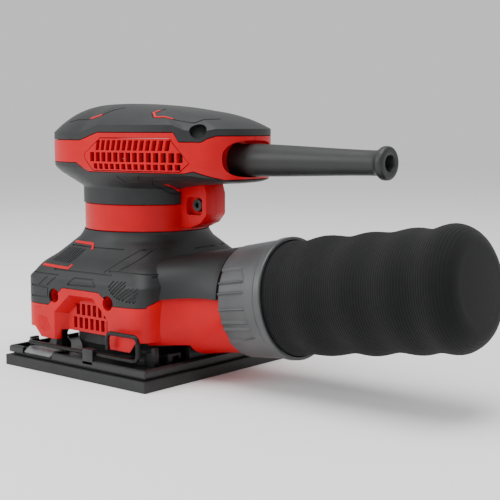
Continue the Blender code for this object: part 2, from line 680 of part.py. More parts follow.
def make_drive():
    """Everything that turns, with the three bearings."""
    cx = (ORBIT, 0, 0)
    bearing("platen_bearing", PLATEN_BEARING, PLATEN_BEARING_Z, cx)
    retainer_low = PLATEN_BEARING_Z + PLATEN_BEARING[2] + GAP
    cup_r = PLATEN_BEARING[0] + GAP + CUP_WALL
    ring("bearing_retainer", cup_r, PLATEN_BEARING[0] - 1.4 * MM, retainer_low,
        retainer_low + 1.2 * MM, STEEL, cx)

    pin_low = PLATEN_BEARING_Z + 0.4 * MM
    head_low = retainer_low + 1.2 * MM + 0.8 * MM
    hub = turned(
        "eccentric_hub",
        [(HUB_R, head_low), (HUB_R, FAN_LOW - GAP)],
        STEEL,
    )
    pin = [(PLATEN_BEARING[1] - 0.05 * MM, pin_low), (PLATEN_BEARING[1] - 0.05 * MM, retainer_low),
        (6 * MM, retainer_low + 0.3 * MM),
           (6 * MM, head_low + MM)]
    combine(hub, turned("pin", pin, STEEL, cx), "UNION")
    combine(hub, rod("thread", 2.3 * MM, 0, pin_low + 5 * MM, STEEL, cx, sides=14))
    combine(hub, rod("socket", SHAFT_R + GAP, SHAFT_LOW - GAP, FAN_LOW + MM, STEEL))

    screw_top = pin_low + 4.5 * MM
    screw = turned(
        "platen_screw",
        [(4.8 * MM, PLATEN_BEARING_Z - 4.3 * MM), (4.8 * MM, PLATEN_BEARING_Z - 1.4 * MM),
            (7 * MM, PLATEN_BEARING_Z - 1.4 * MM),
         (7 * MM, PLATEN_BEARING_Z - GAP), (2 * MM, PLATEN_BEARING_Z - GAP), (2 * MM, screw_top)],
        STEEL, cx, sides=16,
    )
    combine(screw, rod("drive", 2.2 * MM, 0, PLATEN_BEARING_Z - 2.6 * MM, STEEL, cx, sides=6))

    shaft_top = UPPER_BEARING_Z + UPPER_BEARING[2] + 0.6 * MM
    shoulder = UPPER_BEARING_Z - 1.5 * MM
    turned("armature_shaft", [(SHAFT_R - 0.05 * MM, SHAFT_LOW), (SHAFT_R - 0.05 * MM, shoulder),
                              (SHAFT_TOP_R - 0.05 * MM, shoulder + 0.5 * MM),
                                  (SHAFT_TOP_R - 0.05 * MM, shaft_top)], STEEL, sides=20)

    make_fan()

    teeth = 12
    outline = []
    for tooth in range(teeth):
        for turn, radius in ((-0.36, ARMATURE_R), (-0.12, ARMATURE_R), (0.12, ARMATURE_R),
            (0.36, ARMATURE_R), (0.42, ARMATURE_R - 3 * MM), (0.58, ARMATURE_R - 3 * MM)):
            a = (tooth + turn) * 2 * math.pi / teeth
            outline.append((radius * math.cos(a), radius * math.sin(a)))
    core = prism("armature_core", outline, STACK_LOW, STACK_HIGH, LAMINATION)
    winding = [(9 * MM, -4 * MM), (11 * MM, -3.4 * MM), (11.2 * MM, -MM),
        (11.2 * MM, STACK_HIGH - STACK_LOW + MM),
               (11 * MM, STACK_HIGH - STACK_LOW + 3.4 * MM), (9 * MM, STACK_HIGH - STACK_LOW + 4 * MM)]
    combine(core, turned("winding", [(r, STACK_LOW + s) for r, s in winding], COPPER), "UNION")
    combine(core, rod("bore", SHAFT_R + GAP, STACK_LOW - 9 * MM, STACK_HIGH + 9 * MM, COPPER, sides=20))

    low, high = COMMUTATOR_Z
    ring("commutator", COMMUTATOR_R, SHAFT_R + GAP, low, high, BRASS)

    bearing("lower_bearing", LOWER_BEARING, LOWER_BEARING_Z)
    bearing("upper_bearing", UPPER_BEARING, UPPER_BEARING_Z)
    outer = UPPER_BEARING[0] + GAP
    turned("upper_bearing_cup",
           [(outer + CUP_RUBBER, UPPER_BEARING_Z - 1.5 * MM),
               (outer + CUP_RUBBER, UPPER_BEARING_Z + UPPER_BEARING[2] + 2 * MM),
            (1 * MM, UPPER_BEARING_Z + UPPER_BEARING[2] + 2 * MM), (1 * MM, shaft_top + GAP),
                (outer, shaft_top + GAP), (outer, UPPER_BEARING_Z - 1.5 * MM)],
           RUBBER, hollow=True)


def make_fan():
    """Suction fan: blades under a disc, with the balance weight opposite to the eccentric."""
    outline = []
    for blade in range(FAN_BLADES):
        a = blade * 2 * math.pi / FAN_BLADES
        half = 1 * MM
        c, s = math.cos(a), math.sin(a)
        for along, across in ((HUB_R + 2.4 * MM, -half), (FAN_R - MM, -half), (FAN_R - MM, half),
            (HUB_R + 2.4 * MM, half)):
            outline.append((along * c - across * s, along * s + across * c))
    top = FAN_LOW + FAN_BLADE
    fan = prism("fan", outline, FAN_LOW, top + MM, ALUMINIUM)
    combine(fan, rod("disc", FAN_R, top, top + FAN_DISC, ALUMINIUM, sides=36), "UNION")
    arc = [math.radians(a) for a in range(120, 241, 15)]
    weight = [(29 * MM * math.cos(a), 29 * MM * math.sin(a)) for a in arc]
    weight += [(18 * MM * math.cos(a), 18 * MM * math.sin(a)) for a in reversed(arc)]
    combine(fan, prism("weight", weight, FAN_LOW + MM, top + MM, ALUMINIUM), "UNION")
    combine(fan, rod("bore", SHAFT_R + GAP, FAN_LOW - MM, top + FAN_DISC + MM, ALUMINIUM, sides=20))


def make_stator():
    """Field stack with two poles, its coils, and the plate that carries the lower bearing."""
    outer = BAND_R - WALL - 2 * GAP
    stack = ring("field_stack", outer, outer - 5.4 * MM, STACK_LOW, STACK_HIGH, LAMINATION, sides=36)
    for side in (-1, 1):
        pole = box("pole", (-POLE_HALF, min(side * 14 * MM, side * (outer - 4 * MM)), STACK_LOW),
                   (POLE_HALF, max(side * 14 * MM, side * (outer - 4 * MM)), STACK_HIGH), LAMINATION)
        combine(stack, pole, "UNION")
    combine(stack, rod("bore", ARMATURE_R + AIR_GAP, STACK_LOW - MM, STACK_HIGH + MM, LAMINATION,
        sides=36))
    x_in, x_out = POLE_HALF + GAP, POLE_HALF + GAP + COIL_SIDE
    y_low, y_high = ARMATURE_R + AIR_GAP + 1.4 * MM, ARMATURE_R + AIR_GAP + 5 * MM
    z_in = (STACK_LOW - GAP, STACK_HIGH + GAP)
    z_out = (z_in[0] - COIL_SIDE, z_in[1] + COIL_SIDE)
    coil = box("field_coil_right", (-x_out, y_low, z_out[0]), (x_out, y_high, z_out[1]), COPPER)
    combine(coil, box("window", (-x_in, y_low - MM, z_in[0]), (x_in, y_high + MM, z_in[1]), COPPER))
    mirrored(coil, "field_coil_left")

    cup = LOWER_BEARING[0] + GAP
    wide = BAND_R + 0.6 * MM
    low = LOWER_BEARING_Z
    turned("bearing_plate",
           [(cup + 2.4 * MM, low - MM), (cup + 2.4 * MM, STEP_Z - 3.2 * MM), (wide, STEP_Z - 3.2 * MM),
               (wide, STEP_Z - GAP),
            (SHAFT_R + 3 * MM, STEP_Z - GAP), (SHAFT_R + 3 * MM, low + LOWER_BEARING[2] + GAP),
                (cup, low + LOWER_BEARING[2] + GAP), (cup, low - MM)],
           ALUMINIUM, hollow=True, sides=28)


def make_brushes():
    """Carbon brushes in brass boxes, pressed on the commutator by coil springs."""
    z = sum(COMMUTATOR_Z) / 2
    half = 2.6 * MM
    start, end = COMMUTATOR_R + GAP, 20 * MM
    brush = box("brush_right", (-half, start, z - half), (half, end, z + half), CARBON)
    wall = half + GAP
    holder = box("brush_holder_right", (-wall - MM, start + 2 * MM, z - wall - MM),
        (wall + MM, BRUSH_END, z + wall + MM), BRASS)
    spring_end = BRUSH_END - MM
    combine(holder, box("guide", (-wall, start, z - wall), (wall, spring_end, z + wall), BRASS))
    turns, steps = 4, 6
    route = [
        (1.7 * MM * math.cos(2 * math.pi * i / steps),
            end + GAP + 0.4 * MM + (spring_end - end - 2 * GAP - 0.8 * MM) * i / (turns * steps),
         z + 1.7 * MM * math.sin(2 * math.pi * i / steps))
        for i in range(turns * steps + 1)
    ]
    spring = swept("brush_spring_right", route, 0.35 * MM, STEEL, sides=4)
    for piece, name in ((brush, "brush_left"), (holder, "brush_holder_left"),
        (spring, "brush_spring_left")):
        mirrored(piece, name)


# ---------------------------------------------------------------- housing

SCREW_PLACES = {
    "skirt_screw_front": ((-20.7 * MM, 39.8 * MM), SKIRT_Y),
    "skirt_screw_rear": ((20.7 * MM, 39.8 * MM), SKIRT_Y),
    "neck_screw": ((43 * MM, 88.6 * MM), 7.5 * MM),
    "head_screw": ((61 * MM, 125 * MM), 24 * MM),
}
SKIRT_SCREWS = ("skirt_screw_front", "skirt_screw_rear")
BLOCK_HALF = 7.5 * MM


def screw_depth(face):
    """How far from the split plane a screw's head seats, for a face this far out."""
    return min(12 * MM, 0.45 * face)


def add_bosses(housing):
    """A boss round each screw that crosses the skirt, from wall to wall."""
    reach = SKIRT_Y - RECESS - 0.7 * MM
    for name in SKIRT_SCREWS:
        (x, z), _ = SCREW_PLACES[name]
        combine(housing, rod("boss", BOSS_R, -reach, reach, RED, (x, 0, z), "Y", 16), "UNION")


def cut_screw_holes(housing):
    """Screw wells from the left face, and the pilot into the right half."""
    for (x, z), face in SCREW_PLACES.values():
        seat = screw_depth(face)
        combine(housing, rod("well", SCREW_WELL_R, -face - 25 * MM, -seat, RED, (x, 0, z), "Y", 16))
        combine(housing, rod("pilot", SCREW_R + GAP, -seat - MM, seat, RED, (x, 0, z), "Y", 12))


def make_screws():
    for name, ((x, z), face) in SCREW_PLACES.items():
        seat = screw_depth(face)
        profile = [(SCREW_HEAD_R, -seat - GAP - 2.4 * MM), (SCREW_HEAD_R, -seat - GAP),
            (SCREW_R, -seat - GAP), (SCREW_R, seat - MM)]
        screw = turned(name, profile, STEEL, (x, 0, z), "Y", 14)
        combine(screw, rod("drive", 1.5 * MM, -seat - 6 * MM, -seat - GAP - 1 * MM, STEEL, (x, 0, z),
            "Y", 6))


def feet():
    """Two skirt feet on each long side, which hang lower than the skirt's edge."""
    made = []
    for side in (-1, 1):
        for slopes in (((-36, 22.6), (-31.5, 17), (-20, 17), (-20, 22.6)),
            ((22, 22.6), (22, 17), (36.5, 17), (40, 22.6))):
            outline = [(x * MM, z * MM) for x, z in slopes]
            outer, inner = SKIRT_Y - 0.4 * MM, SKIRT_Y - 3.4 * MM
            made.append(prism("foot", outline, min(side * outer, side * inner),
                max(side * outer, side * inner), RED, "Y"))
    return made


def neck_block():
    """The screw block behind the neck band, chamfered below."""
    outline = [(25, 76.5), (39, 76.3), (47, 79.4), (50.7, 83.6), (50.7, 95), (49, 100.5), (25, 100.5)]
    return prism("block", [(x * MM, z * MM) for x, z in outline], -BLOCK_HALF, BLOCK_HALF, RED, "Y")


GRILLE = [(-3.5, 113), (2, 106.6), (55, 106.6), (59.5, 111), (50, 123.8), (8, 123.8), (-3.5, 115.5)]


def grille_outline(shrink=0.0):
    """The vent panel's outline in x and z, pulled in towards its middle by shrink."""
    points = np.array(GRILLE) * MM
    middle = (points.min(0) + points.max(0)) / 2
    half = (points.max(0) - points.min(0)) / 2
    return [tuple(p) for p in middle + (points - middle) * (1 - shrink / half)]


def cavity():
    """The hollow inside both halves: skirt room, ledge, motor tube and head."""
    motor_r = BAND_R - WALL
    neck_r = NECK_R - RECESS - WALL
    deep = RECESS + WALL
    rows = [
        (SKIRT_LOW - 9 * MM, square(1, 1, 10), WALL + 0.8 * MM),
        (SHOULDER_EDGE - 6 * MM, square(1, 1, 10), WALL + 0.8 * MM),
        (SHOULDER_EDGE - 3 * MM, square(1, 1, 10), deep),
        (SHOULDER_EDGE + 1 * MM, square(0.98, 0.98, 9), deep + 0.4 * MM),
        (STEP_Z, square(0.86, 0.86, 6), deep + 0.6 * MM),
    ]
    rings = []
    for height, values, inset in rows:
        x, y, _ = section(*values, inset=inset)
        rings.append(np.stack([x, y, np.full(FINE, height)], 1))
    for height, radius in ((STEP_Z + 0.05 * MM, motor_r), (BAND_HIGH - MM, motor_r),
        (BAND_HIGH - 0.5 * MM, neck_r), (HEAD_LOW + 4.5 * MM, neck_r)):
        x, y, _ = section(0, radius, radius, radius, 2, 2)
        rings.append(np.stack([x, y, np.full(FINE, height)], 1))
    for height, share in ((HEAD_LOW + 8.8 * MM, 0.5), (HEAD_LOW + 12.5 * MM, 0.86),
        (HEAD_LOW + 16 * MM, 1.0), (HEAD_EDGE - 5 * MM, 1.0)):
        x, y, _ = section(*between(NECK, HEAD, share), inset=deep)
        rings.append(np.stack([np.minimum(x, BOOT_FROM), y, np.full(FINE, height)], 1))
    for ring_points in body_rings(deep)[len(STATIONS):]:
        ring_points[:, 0] = np.minimum(ring_points[:, 0], BOOT_FROM)
        rings.append(ring_points)
    return loft("cavity", rings, RED)


def port_space(name, radius, start, end, flat, flat_to):
    """A bar on the port's axis whose underside is flat up to the plane x = flat_to, clear of the platen."""
    bar = port_rod(name, radius, start, end)
    below = box("below", (0, -60 * MM, -60 * MM), (flat_to, 60 * MM, flat), RED)
    return combine(bar, below)


def cut_recesses(shell):
    """Seats for the soft covers, and the step of the neck band between two of them."""
    spaces = [
        zone("recess", shoulder_line, BAND_LOW, SKIRT),
        zone("recess", BAND_HIGH, under_line, HEAD),
        cap_zone("recess"),
    ]
    for space in spaces:
        combine(space, body_solid("core", RECESS, RED, SKIRT_LOW - 5 * MM))
        combine(shell, space)
    combine(shell, ring("band_step", 60 * MM, BAND_R, BAND_LOW - 0.1 * MM, BAND_HIGH + 0.1 * MM, RED,
        sides=FINE))


def rear_dish():
    """The flared pocket round the cord boot."""
    rings = []
    for x, half_y, half_z, z in ((DISH_X, 10.5, 9.0, 113.0), (DISH_X + 5 * MM, 18, 9.2, 113.1),
        (DISH_X + 22 * MM, 24, 9.2, 113.1)):
        outline_y, outline_z, _ = section(0, half_y * MM, half_y * MM, half_z * MM, 2.6, 2.6)
        rings.append(np.stack([np.full(FINE, x), outline_y, z * MM + outline_z], 1))
    return loft("dish", rings, RED)


def make_housing():
    """Both red halves from one shell, cut apart on the XZ plane."""
    shell = body_solid("shell", 0, RED)
    cut_recesses(shell)
    for part in [port_space("port", PORT_R, -34 * MM, PORT_END, PORT_FLAT, 56 * MM), neck_block(),
        *feet()]:
        combine(shell, part, "UNION")
    combine(shell, cavity())
    combine(shell, port_space("bore", PORT_BORE, -36 * MM, PORT_END + 5 * MM, PORT_FLAT + WALL,
        58.5 * MM))
    floor_low = SKIRT_LOW + FLOOR_UP
    outline = section(*SKIRT, inset=MM)
    floor = loft("floor", [np.stack([*outline[:2], np.full(FINE, z)], 1) for z in (floor_low,
        floor_low + FLOOR_THICK)], RED)
    combine(floor, rod("eye", FLOOR_HOLE_R, 0, 60 * MM, RED, sides=32))
    combine(shell, floor, "UNION")
    for x, y in leg_places():
        combine(shell, rod("stud_hole", STUD_R + GAP, 0, SKIRT_LOW + 8 * MM, RED, (x, y, 0), sides=12))

    bar = (13 * MM, BRIDGE_HALF, BRIDGE_THICK / 2)
    middle = (0, 0, BRIDGE_Z + BRIDGE_THICK / 2)
    low, high = np.subtract(middle, bar), np.add(middle, bar)
    combine(shell, box("bridge", low, high, RED), "UNION")
    cup = UPPER_BEARING[0] + GAP + CUP_RUBBER + GAP
    cup_top = UPPER_BEARING_Z + UPPER_BEARING[2] + 2 * MM
    combine(shell, rod("cup", cup + WALL, BRIDGE_Z, cup_top, RED, sides=24), "UNION")
    combine(shell, rod("cup_seat", cup, BRIDGE_Z - MM, cup_top + MM, RED, sides=24))
    add_bosses(shell)
    cut_screw_holes(shell)

    combine(shell, rear_dish())
    combine(shell, rod("boot_hole", BOOT_R + GAP, 45 * MM, 90 * MM, RED, (0, 0, BOOT_Z), "X", 24))
    flange = rod("flange_room", BOOT_FLANGE[0] + GAP, BOOT_FROM - 6 * MM,
        BOOT_FROM + BOOT_FLANGE[1] + GAP, RED, (0, 0, BOOT_Z), "X", 24)
    combine(shell, flange)
    for side in (-1, 1):
        low_y, high_y = sorted((side * 24 * MM, side * 60 * MM))
        combine(shell, prism("window", grille_outline(), low_y, high_y, RED, "Y"))
    y, z = ROCKER_HALF_Y + GAP + BEZEL + GAP, ROCKER_HALF_Z + GAP + BEZEL + GAP
    combine(shell, box("switch_window", (-70 * MM, -y, ROCKER_Z - z), (-40 * MM, y, ROCKER_Z + z), RED))

    right = duplicate(shell, "housing_right")
    shell.name = "housing_left"
    far = 300 * MM
    combine(shell, box("half", (-far, -far, -far), (far, -HALF_SPLIT, far), RED), "INTERSECT")
    combine(right, box("half", (-far, HALF_SPLIT, -far), (far, far, far), RED), "INTERSECT")
    add_cord_saddle(shell, right)


def add_cord_saddle(left, right):
    """The left half's posts for the cord clamp, and the room that they need in the right half."""
    x_low, x_high = CLAMP_X - CLAMP_HALF_X, CLAMP_X + CLAMP_HALF_X
    reach = CLAMP_REACH + CLAMP_EDGE
    block = box("saddle", (x_low, -CLAMP_Y - 6 * MM, BOOT_Z - reach - 1.5 * MM),
        (x_high, -CLAMP_Y, BOOT_Z + reach), RED)
    combine(left, block, "UNION")
    for z in clamp_heights():
        combine(left, rod("post", CLAMP_POST_R, -CLAMP_Y - MM, CLAMP_Y - GAP, RED, (CLAMP_X, 0, z),
            "Y", 14), "UNION")
        combine(left, rod("pilot", CLAMP_SCREW_R + GAP, CLAMP_Y - 9 * MM, CLAMP_Y, RED,
            (CLAMP_X, 0, z), "Y", 10))
    room = box("room", (x_low - GAP, -MM, BOOT_Z - reach - GAP),
        (x_high + GAP, CLAMP_Y + 6 * MM, BOOT_Z + reach + GAP), RED)
    combine(right, room)


def vent_holes():
    """Rows of rectangular holes in a vent panel, as (x, z, half width, half height)."""
    rows = ((120.1, 2.3, 9, 50), (114.1, 2.6, 1, 55), (108.9, 1.6, 5, 53))
    pitch = 4.6
    found = []
    for z, half_z, first, last in rows:
        count = int((last - first) / pitch) + 1
        found += [((first + i * pitch) * MM, z * MM, 1.35 * MM, half_z * MM) for i in range(count)]
    return found


def make_grilles():
    """A vent panel let into each side of the head."""
    panel = body_solid("vent_panel_left", 0.1 * MM, RED)
    combine(panel, body_solid("core", WALL + 0.6 * MM, RED, SKIRT_LOW - 5 * MM))
    combine(panel, prism("outline", grille_outline(GAP), -60 * MM, -24 * MM, RED, "Y"), "INTERSECT")
    for x, z, half_x, half_z in vent_holes():
        combine(panel, box("hole", (x - half_x, -60 * MM, z - half_z),
            (x + half_x, -20 * MM, z + half_z), RED))
    mirrored(panel, "vent_panel_right")


def make_overmoulds():
    """The three black soft covers, each set into its recess in the housing."""
    cover = body_solid("palm_grip", 0, BLACK_TPE)
    combine(cover, body_solid("core", RECESS - GAP, BLACK_TPE, SKIRT_LOW - 5 * MM))
    combine(cover, cap_zone("cap", GAP), "INTERSECT")
    well_x, well_z = SCREW_PLACES["head_screw"][0]
    combine(cover, rod("well", SCREW_WELL_R + GAP, -60 * MM, -18 * MM, BLACK_TPE, (well_x, 0, well_z),
        "Y", 20))

    neck = body_solid("neck_grip", 0, BLACK_TPE)
    combine(neck, body_solid("core", RECESS - GAP, BLACK_TPE, SKIRT_LOW - 5 * MM))
    combine(neck, zone("band", BAND_HIGH, under_line, HEAD, GAP), "INTERSECT")
    block = neck_block()
    block.data.transform(Matrix.Diagonal((1 + GAP / (50 * MM), 1 + GAP / BLOCK_HALF, 1, 1)))
    combine(neck, block)

    shoulder = body_solid("shoulder_cover", 0, BLACK_TPE)
    combine(shoulder, port_rod("port", PORT_R + GAP + PORT_COVER, -34 * MM, COLLAR_FROM - GAP - 0.5 * MM,
        BLACK_TPE), "UNION")
    core = body_solid("core", RECESS - GAP, BLACK_TPE, SKIRT_LOW - 5 * MM)
    combine(core, port_rod("port", PORT_R + GAP, -36 * MM, 20 * MM), "UNION")
    combine(shoulder, core)
    combine(shoulder, zone("band", shoulder_line, BAND_LOW, SKIRT, GAP), "INTERSECT")
    for name in SKIRT_SCREWS:
        (x, z), _ = SCREW_PLACES[name]
        combine(shoulder, rod("well", SCREW_WELL_R + GAP, -70 * MM, -30 * MM, BLACK_TPE, (x, 0, z),
            "Y", 20))


# ---------------------------------------------------------------- switch, cord entry, small parts

def clamp_heights():
    return (BOOT_Z - CLAMP_REACH, BOOT_Z + CLAMP_REACH)


def make_cord_entry():
    """Rubber boot held by its flange, and the strap that clamps the lead inside."""
    long = BOOT_TO - BOOT_FROM
    flange_r, flange_w = BOOT_FLANGE
    taper_end = long - 9.5 * MM
    profile = [
        (flange_r, 0), (flange_r, flange_w), (BOOT_R, flange_w + 0.01 * MM), (BOOT_R, 24 * MM),
            (BOOT_TIP_R, taper_end),
        (BOOT_TIP_R + 0.3 * MM, taper_end + 2 * MM), (BOOT_BEAD_R, long - 4 * MM),
            (BOOT_BEAD_R, long - 1.2 * MM),
        (BOOT_BEAD_R - MM, long), (BOOT_BORE, long), (BOOT_BORE, 0),
    ]
    turned("cord_boot", [(r, BOOT_FROM + s) for r, s in profile], RUBBER, (0, 0, BOOT_Z), "X", 24,
        hollow=True)
    reach = CLAMP_REACH + CLAMP_EDGE
    strap = box("cord_clamp", (CLAMP_X - CLAMP_HALF_X, CLAMP_Y, BOOT_Z - reach),
        (CLAMP_X + CLAMP_HALF_X, CLAMP_Y + CLAMP_THICK, BOOT_Z + reach), BLACK_PLASTIC)
    face = CLAMP_Y + CLAMP_THICK + GAP
    for z, name in zip(clamp_heights(), ("clamp_screw_low", "clamp_screw_high")):
        combine(strap, rod("hole", CLAMP_SCREW_R + GAP, 0, 20 * MM, BLACK_PLASTIC, (CLAMP_X, 0, z),
            "Y", 10))
        profile = [(CLAMP_SCREW_R, CLAMP_Y - 8 * MM), (CLAMP_SCREW_R, face), (2.5 * MM, face),
            (2 * MM, face + 1.6 * MM)]
        turned(name, profile, STEEL, (CLAMP_X, 0, z), "Y", 12)


def make_switch():
    """Sealed rocker switch in the front of the head: body, rubber surround and rocker."""
    y_in, z_in = ROCKER_HALF_Y + GAP, ROCKER_HALF_Z + GAP
    y_out, z_out = y_in + BEZEL, z_in + BEZEL
    back = ROCKER_PIVOT_X + 2.6 * MM
    bezel = body_solid("switch_seal", 0, RUBBER)
    combine(bezel, box("frame", (-70 * MM, -y_out, ROCKER_Z - z_out), (back, y_out, ROCKER_Z + z_out),
        RUBBER), "INTERSECT")
    combine(bezel, box("opening", (-71 * MM, -y_in, ROCKER_Z - z_in),
        (back + MM, y_in, ROCKER_Z + z_in), RUBBER))
    body = box("switch_body", (back + GAP, -y_out, ROCKER_Z - z_out),
        (back + 15 * MM, y_out, ROCKER_Z + z_out), BLACK_PLASTIC)
    for y in (-4.5 * MM, 4.5 * MM):
        combine(body, box("terminal", (back + 14 * MM, y - 0.4 * MM, ROCKER_Z - 3 * MM),
            (back + 20 * MM, y + 0.4 * MM, ROCKER_Z + 3 * MM), BRASS), "UNION")
    reach = ROCKER_REACH
    arc = [(-reach * math.cos(t), reach * math.sin(t)) for t in np.radians((-24, -16, -8, 0, 8, 16, 24))]
    waist = 0.5 * MM
    outline = [(x + (waist if abs(z) < MM else 0), z) for x, z in arc] + [(1.6 * MM, 2.2 * MM),
        (1.6 * MM, -2.2 * MM)]
    c, k = math.cos(ROCKER_OFF), math.sin(ROCKER_OFF)
    outline = [(x * c + z * k, z * c - x * k) for x, z in outline]
    rocker = prism("switch_rocker", outline, -ROCKER_HALF_Y, ROCKER_HALF_Y, BLACK_PLASTIC, "Y")
    rocker.location = (ROCKER_PIVOT_X, 0, ROCKER_Z)


def make_capacitor():
    """Suppression capacitor, resting on the bridge of the upper bearing."""
    low = BRIDGE_Z + BRIDGE_THICK + GAP
    box("suppression_capacitor", (-9 * MM, 16 * MM, low), (9 * MM, 23 * MM, low + 8.5 * MM), YELLOW)


def leg_places():
    return [(i * LEG_X, j * LEG_Y) for i in (-1, 1) for j in (-1, 1)]


def make_legs():
    """Four rubber legs that carry the housing and let the platen orbit."""
    top = SKIRT_LOW + FLOOR_UP - GAP
    low = FLOOR_Z + GAP
    middle = (top + low) / 2
    over = SKIRT_LOW + FLOOR_UP + FLOOR_THICK + GAP
    names = ("leg_front_left", "leg_front_right", "leg_rear_left", "leg_rear_right")
    profile = [
        (LEG_R, low), (LEG_R, low + 2 * MM), (LEG_WAIST, middle - MM), (LEG_WAIST, middle + MM),
            (LEG_R, top - 2 * MM),
        (LEG_R, top), (STUD_R, top), (STUD_R, over), (STUD_R + 1.2 * MM, over),
            (STUD_R + 1.2 * MM, over + 1.2 * MM), (STUD_R - MM, over + 2 * MM),
    ]
    for name, (x, y) in zip(names, leg_places()):
        turned(name, profile, RUBBER, (x, y, 0), sides=12)


def make_dust_seal():
    """Rubber skirt on the platen that closes the suction space under the housing's floor."""
    low, high = FLOOR_Z + GAP, SKIRT_LOW + FLOOR_UP - 2 * GAP
    wall = 1.4 * MM
    outer = FLOOR_HOLE_R + 8 * MM
    profile = [
        (outer - 2 * MM, low), (outer - 2 * MM, low + 1.5 * MM), (outer, (low + high) / 2),
            (outer - MM, high),
        (outer - MM - wall, high), (outer - wall, (low + high) / 2),
            (outer - 2 * MM - wall, low + 1.5 * MM), (outer - 2 * MM - wall, low),
    ]
    turned("dust_seal", profile, RUBBER, (ORBIT, 0, 0), sides=24, hollow=True)


# ---------------------------------------------------------------- dust bag


def make_bag():
    """Moulded collar, the ring that grips the cloth in it, and the bag."""
    small, large = COLLAR_R
    lip = COLLAR_LONG - 4 * MM
    slip = PORT_R + GAP
    inside = large - 1.6 * MM
    profile = [
        (small, COLLAR_FROM), (large - 0.6 * MM, lip), (large, lip + MM), (large, COLLAR_LONG - 0.6 * MM),
            (large - 0.6 * MM, COLLAR_LONG),
        (inside, COLLAR_LONG), (inside, COLLAR_LONG - BAG_TUCK - MM),
            (slip, COLLAR_LONG - BAG_TUCK - MM),
        (slip, COLLAR_FROM),
    ]
    turned("bag_collar", profile, GREY_PLASTIC, PORT_AT, "port", PORT_SIDES, hollow=True)

    tuck = COLLAR_LONG - BAG_TUCK
    outer = inside - GAP
    ring_outer = outer - BAG_WALL - GAP
    ring("bag_ring", ring_outer, ring_outer - RING_WALL, tuck, COLLAR_LONG - MM, GREY_PLASTIC, PORT_AT,
        "port", PORT_SIDES)

    bulges, steps = 4, 12
    corner, pole = 13 * MM, 1.5 * MM
    long = BAG_END - corner - COLLAR_LONG - MM
    outside = [(outer, tuck), (outer, COLLAR_LONG + MM)]
    for step in range(1, steps + 1):
        share = step / steps
        bulge = 0.5 * MM * math.cos(2 * math.pi * bulges * share)
        outside.append((BAG_R - 0.5 * MM + bulge, COLLAR_LONG + MM + long * share))
    for turn in (30, 55, 80):
        a = math.radians(turn)
        outside.append((BAG_R - corner + corner * math.cos(a), BAG_END - corner + corner * math.sin(a)))
    outside.append((pole, BAG_END))
    inner_r, turn = BAG_R - 1.5 * MM - BAG_WALL, corner - BAG_WALL
    inside = [(pole, BAG_END - BAG_WALL)]
    for step in (75, 40, 0):
        a = math.radians(step)
        inside.append((inner_r - turn + turn * math.cos(a), BAG_END - corner + turn * math.sin(a)))
    inside += [(inner_r, COLLAR_LONG + 6 * MM), (outer - BAG_WALL, COLLAR_LONG + MM),
        (outer - BAG_WALL, tuck)]
    turned("dust_bag", inside + outside, CLOTH, PORT_AT, "port", PORT_SIDES)


make_pad()
make_platen()
make_clamps()
make_drive()
make_stator()
make_brushes()
make_housing()
make_screws()
make_grilles()
make_overmoulds()
make_cord_entry()
make_switch()
make_capacitor()
make_legs()
make_dust_seal()
make_bag()
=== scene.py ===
# A quarter-sheet palm sander: a square orbiting pad under a two-part red housing with soft black
# grips, an egg-shaped head, a rubber cord boot and a cylindrical cloth bag on a grey collar.
# Everything is in metres; X points to the rear, -Y is the side that the housing screws enter.
import math

import bmesh
import bpy
import numpy as np
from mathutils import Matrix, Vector


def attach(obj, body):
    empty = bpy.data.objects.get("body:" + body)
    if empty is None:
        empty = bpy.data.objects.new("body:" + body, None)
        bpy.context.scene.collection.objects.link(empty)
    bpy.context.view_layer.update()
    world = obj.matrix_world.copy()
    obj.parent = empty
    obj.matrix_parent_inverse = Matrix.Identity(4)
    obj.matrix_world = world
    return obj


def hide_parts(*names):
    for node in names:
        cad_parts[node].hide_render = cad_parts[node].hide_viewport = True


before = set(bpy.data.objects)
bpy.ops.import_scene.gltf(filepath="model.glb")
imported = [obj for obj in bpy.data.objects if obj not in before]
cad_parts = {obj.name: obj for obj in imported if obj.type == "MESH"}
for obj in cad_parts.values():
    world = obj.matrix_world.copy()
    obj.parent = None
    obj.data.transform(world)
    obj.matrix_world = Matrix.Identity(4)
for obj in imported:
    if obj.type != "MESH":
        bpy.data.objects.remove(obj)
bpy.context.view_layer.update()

# -------------------- studio
# A pale seamless sweep with large soft lights, and a long lens a little above the bench.

MM = 0.001


def hex_colour(text):
    """Linear red, green and blue from an sRGB hex value such as 'D8232A'."""
    values = np.array([int(text[i:i + 2], 16) for i in (0, 2, 4)]) / 255
    return tuple(np.where(values <= 0.04045, values / 12.92, ((values + 0.055) / 1.055) ** 2.4))


def add(tree, kind, **inputs):
    """Adds one node; inputs are values or sockets by input name, with underscores for spaces."""
    made = tree.nodes.new(kind)
    for key, value in inputs.items():
        socket = made.inputs[key.replace("_", " ")]
        if isinstance(value, bpy.types.NodeSocket):
            tree.links.new(value, socket)
        else:
            socket.default_value = value
    return made


def new_material(name, shader_values):
    """A material with its Principled shader; keys are input names with underscores for spaces."""
    made = bpy.data.materials.new(name)
    made.use_nodes = True
    shader = made.node_tree.nodes["Principled BSDF"]
    for key, value in shader_values.items():
        shader.inputs[key.replace("_", " ")].default_value = value
    return made, made.node_tree, shader


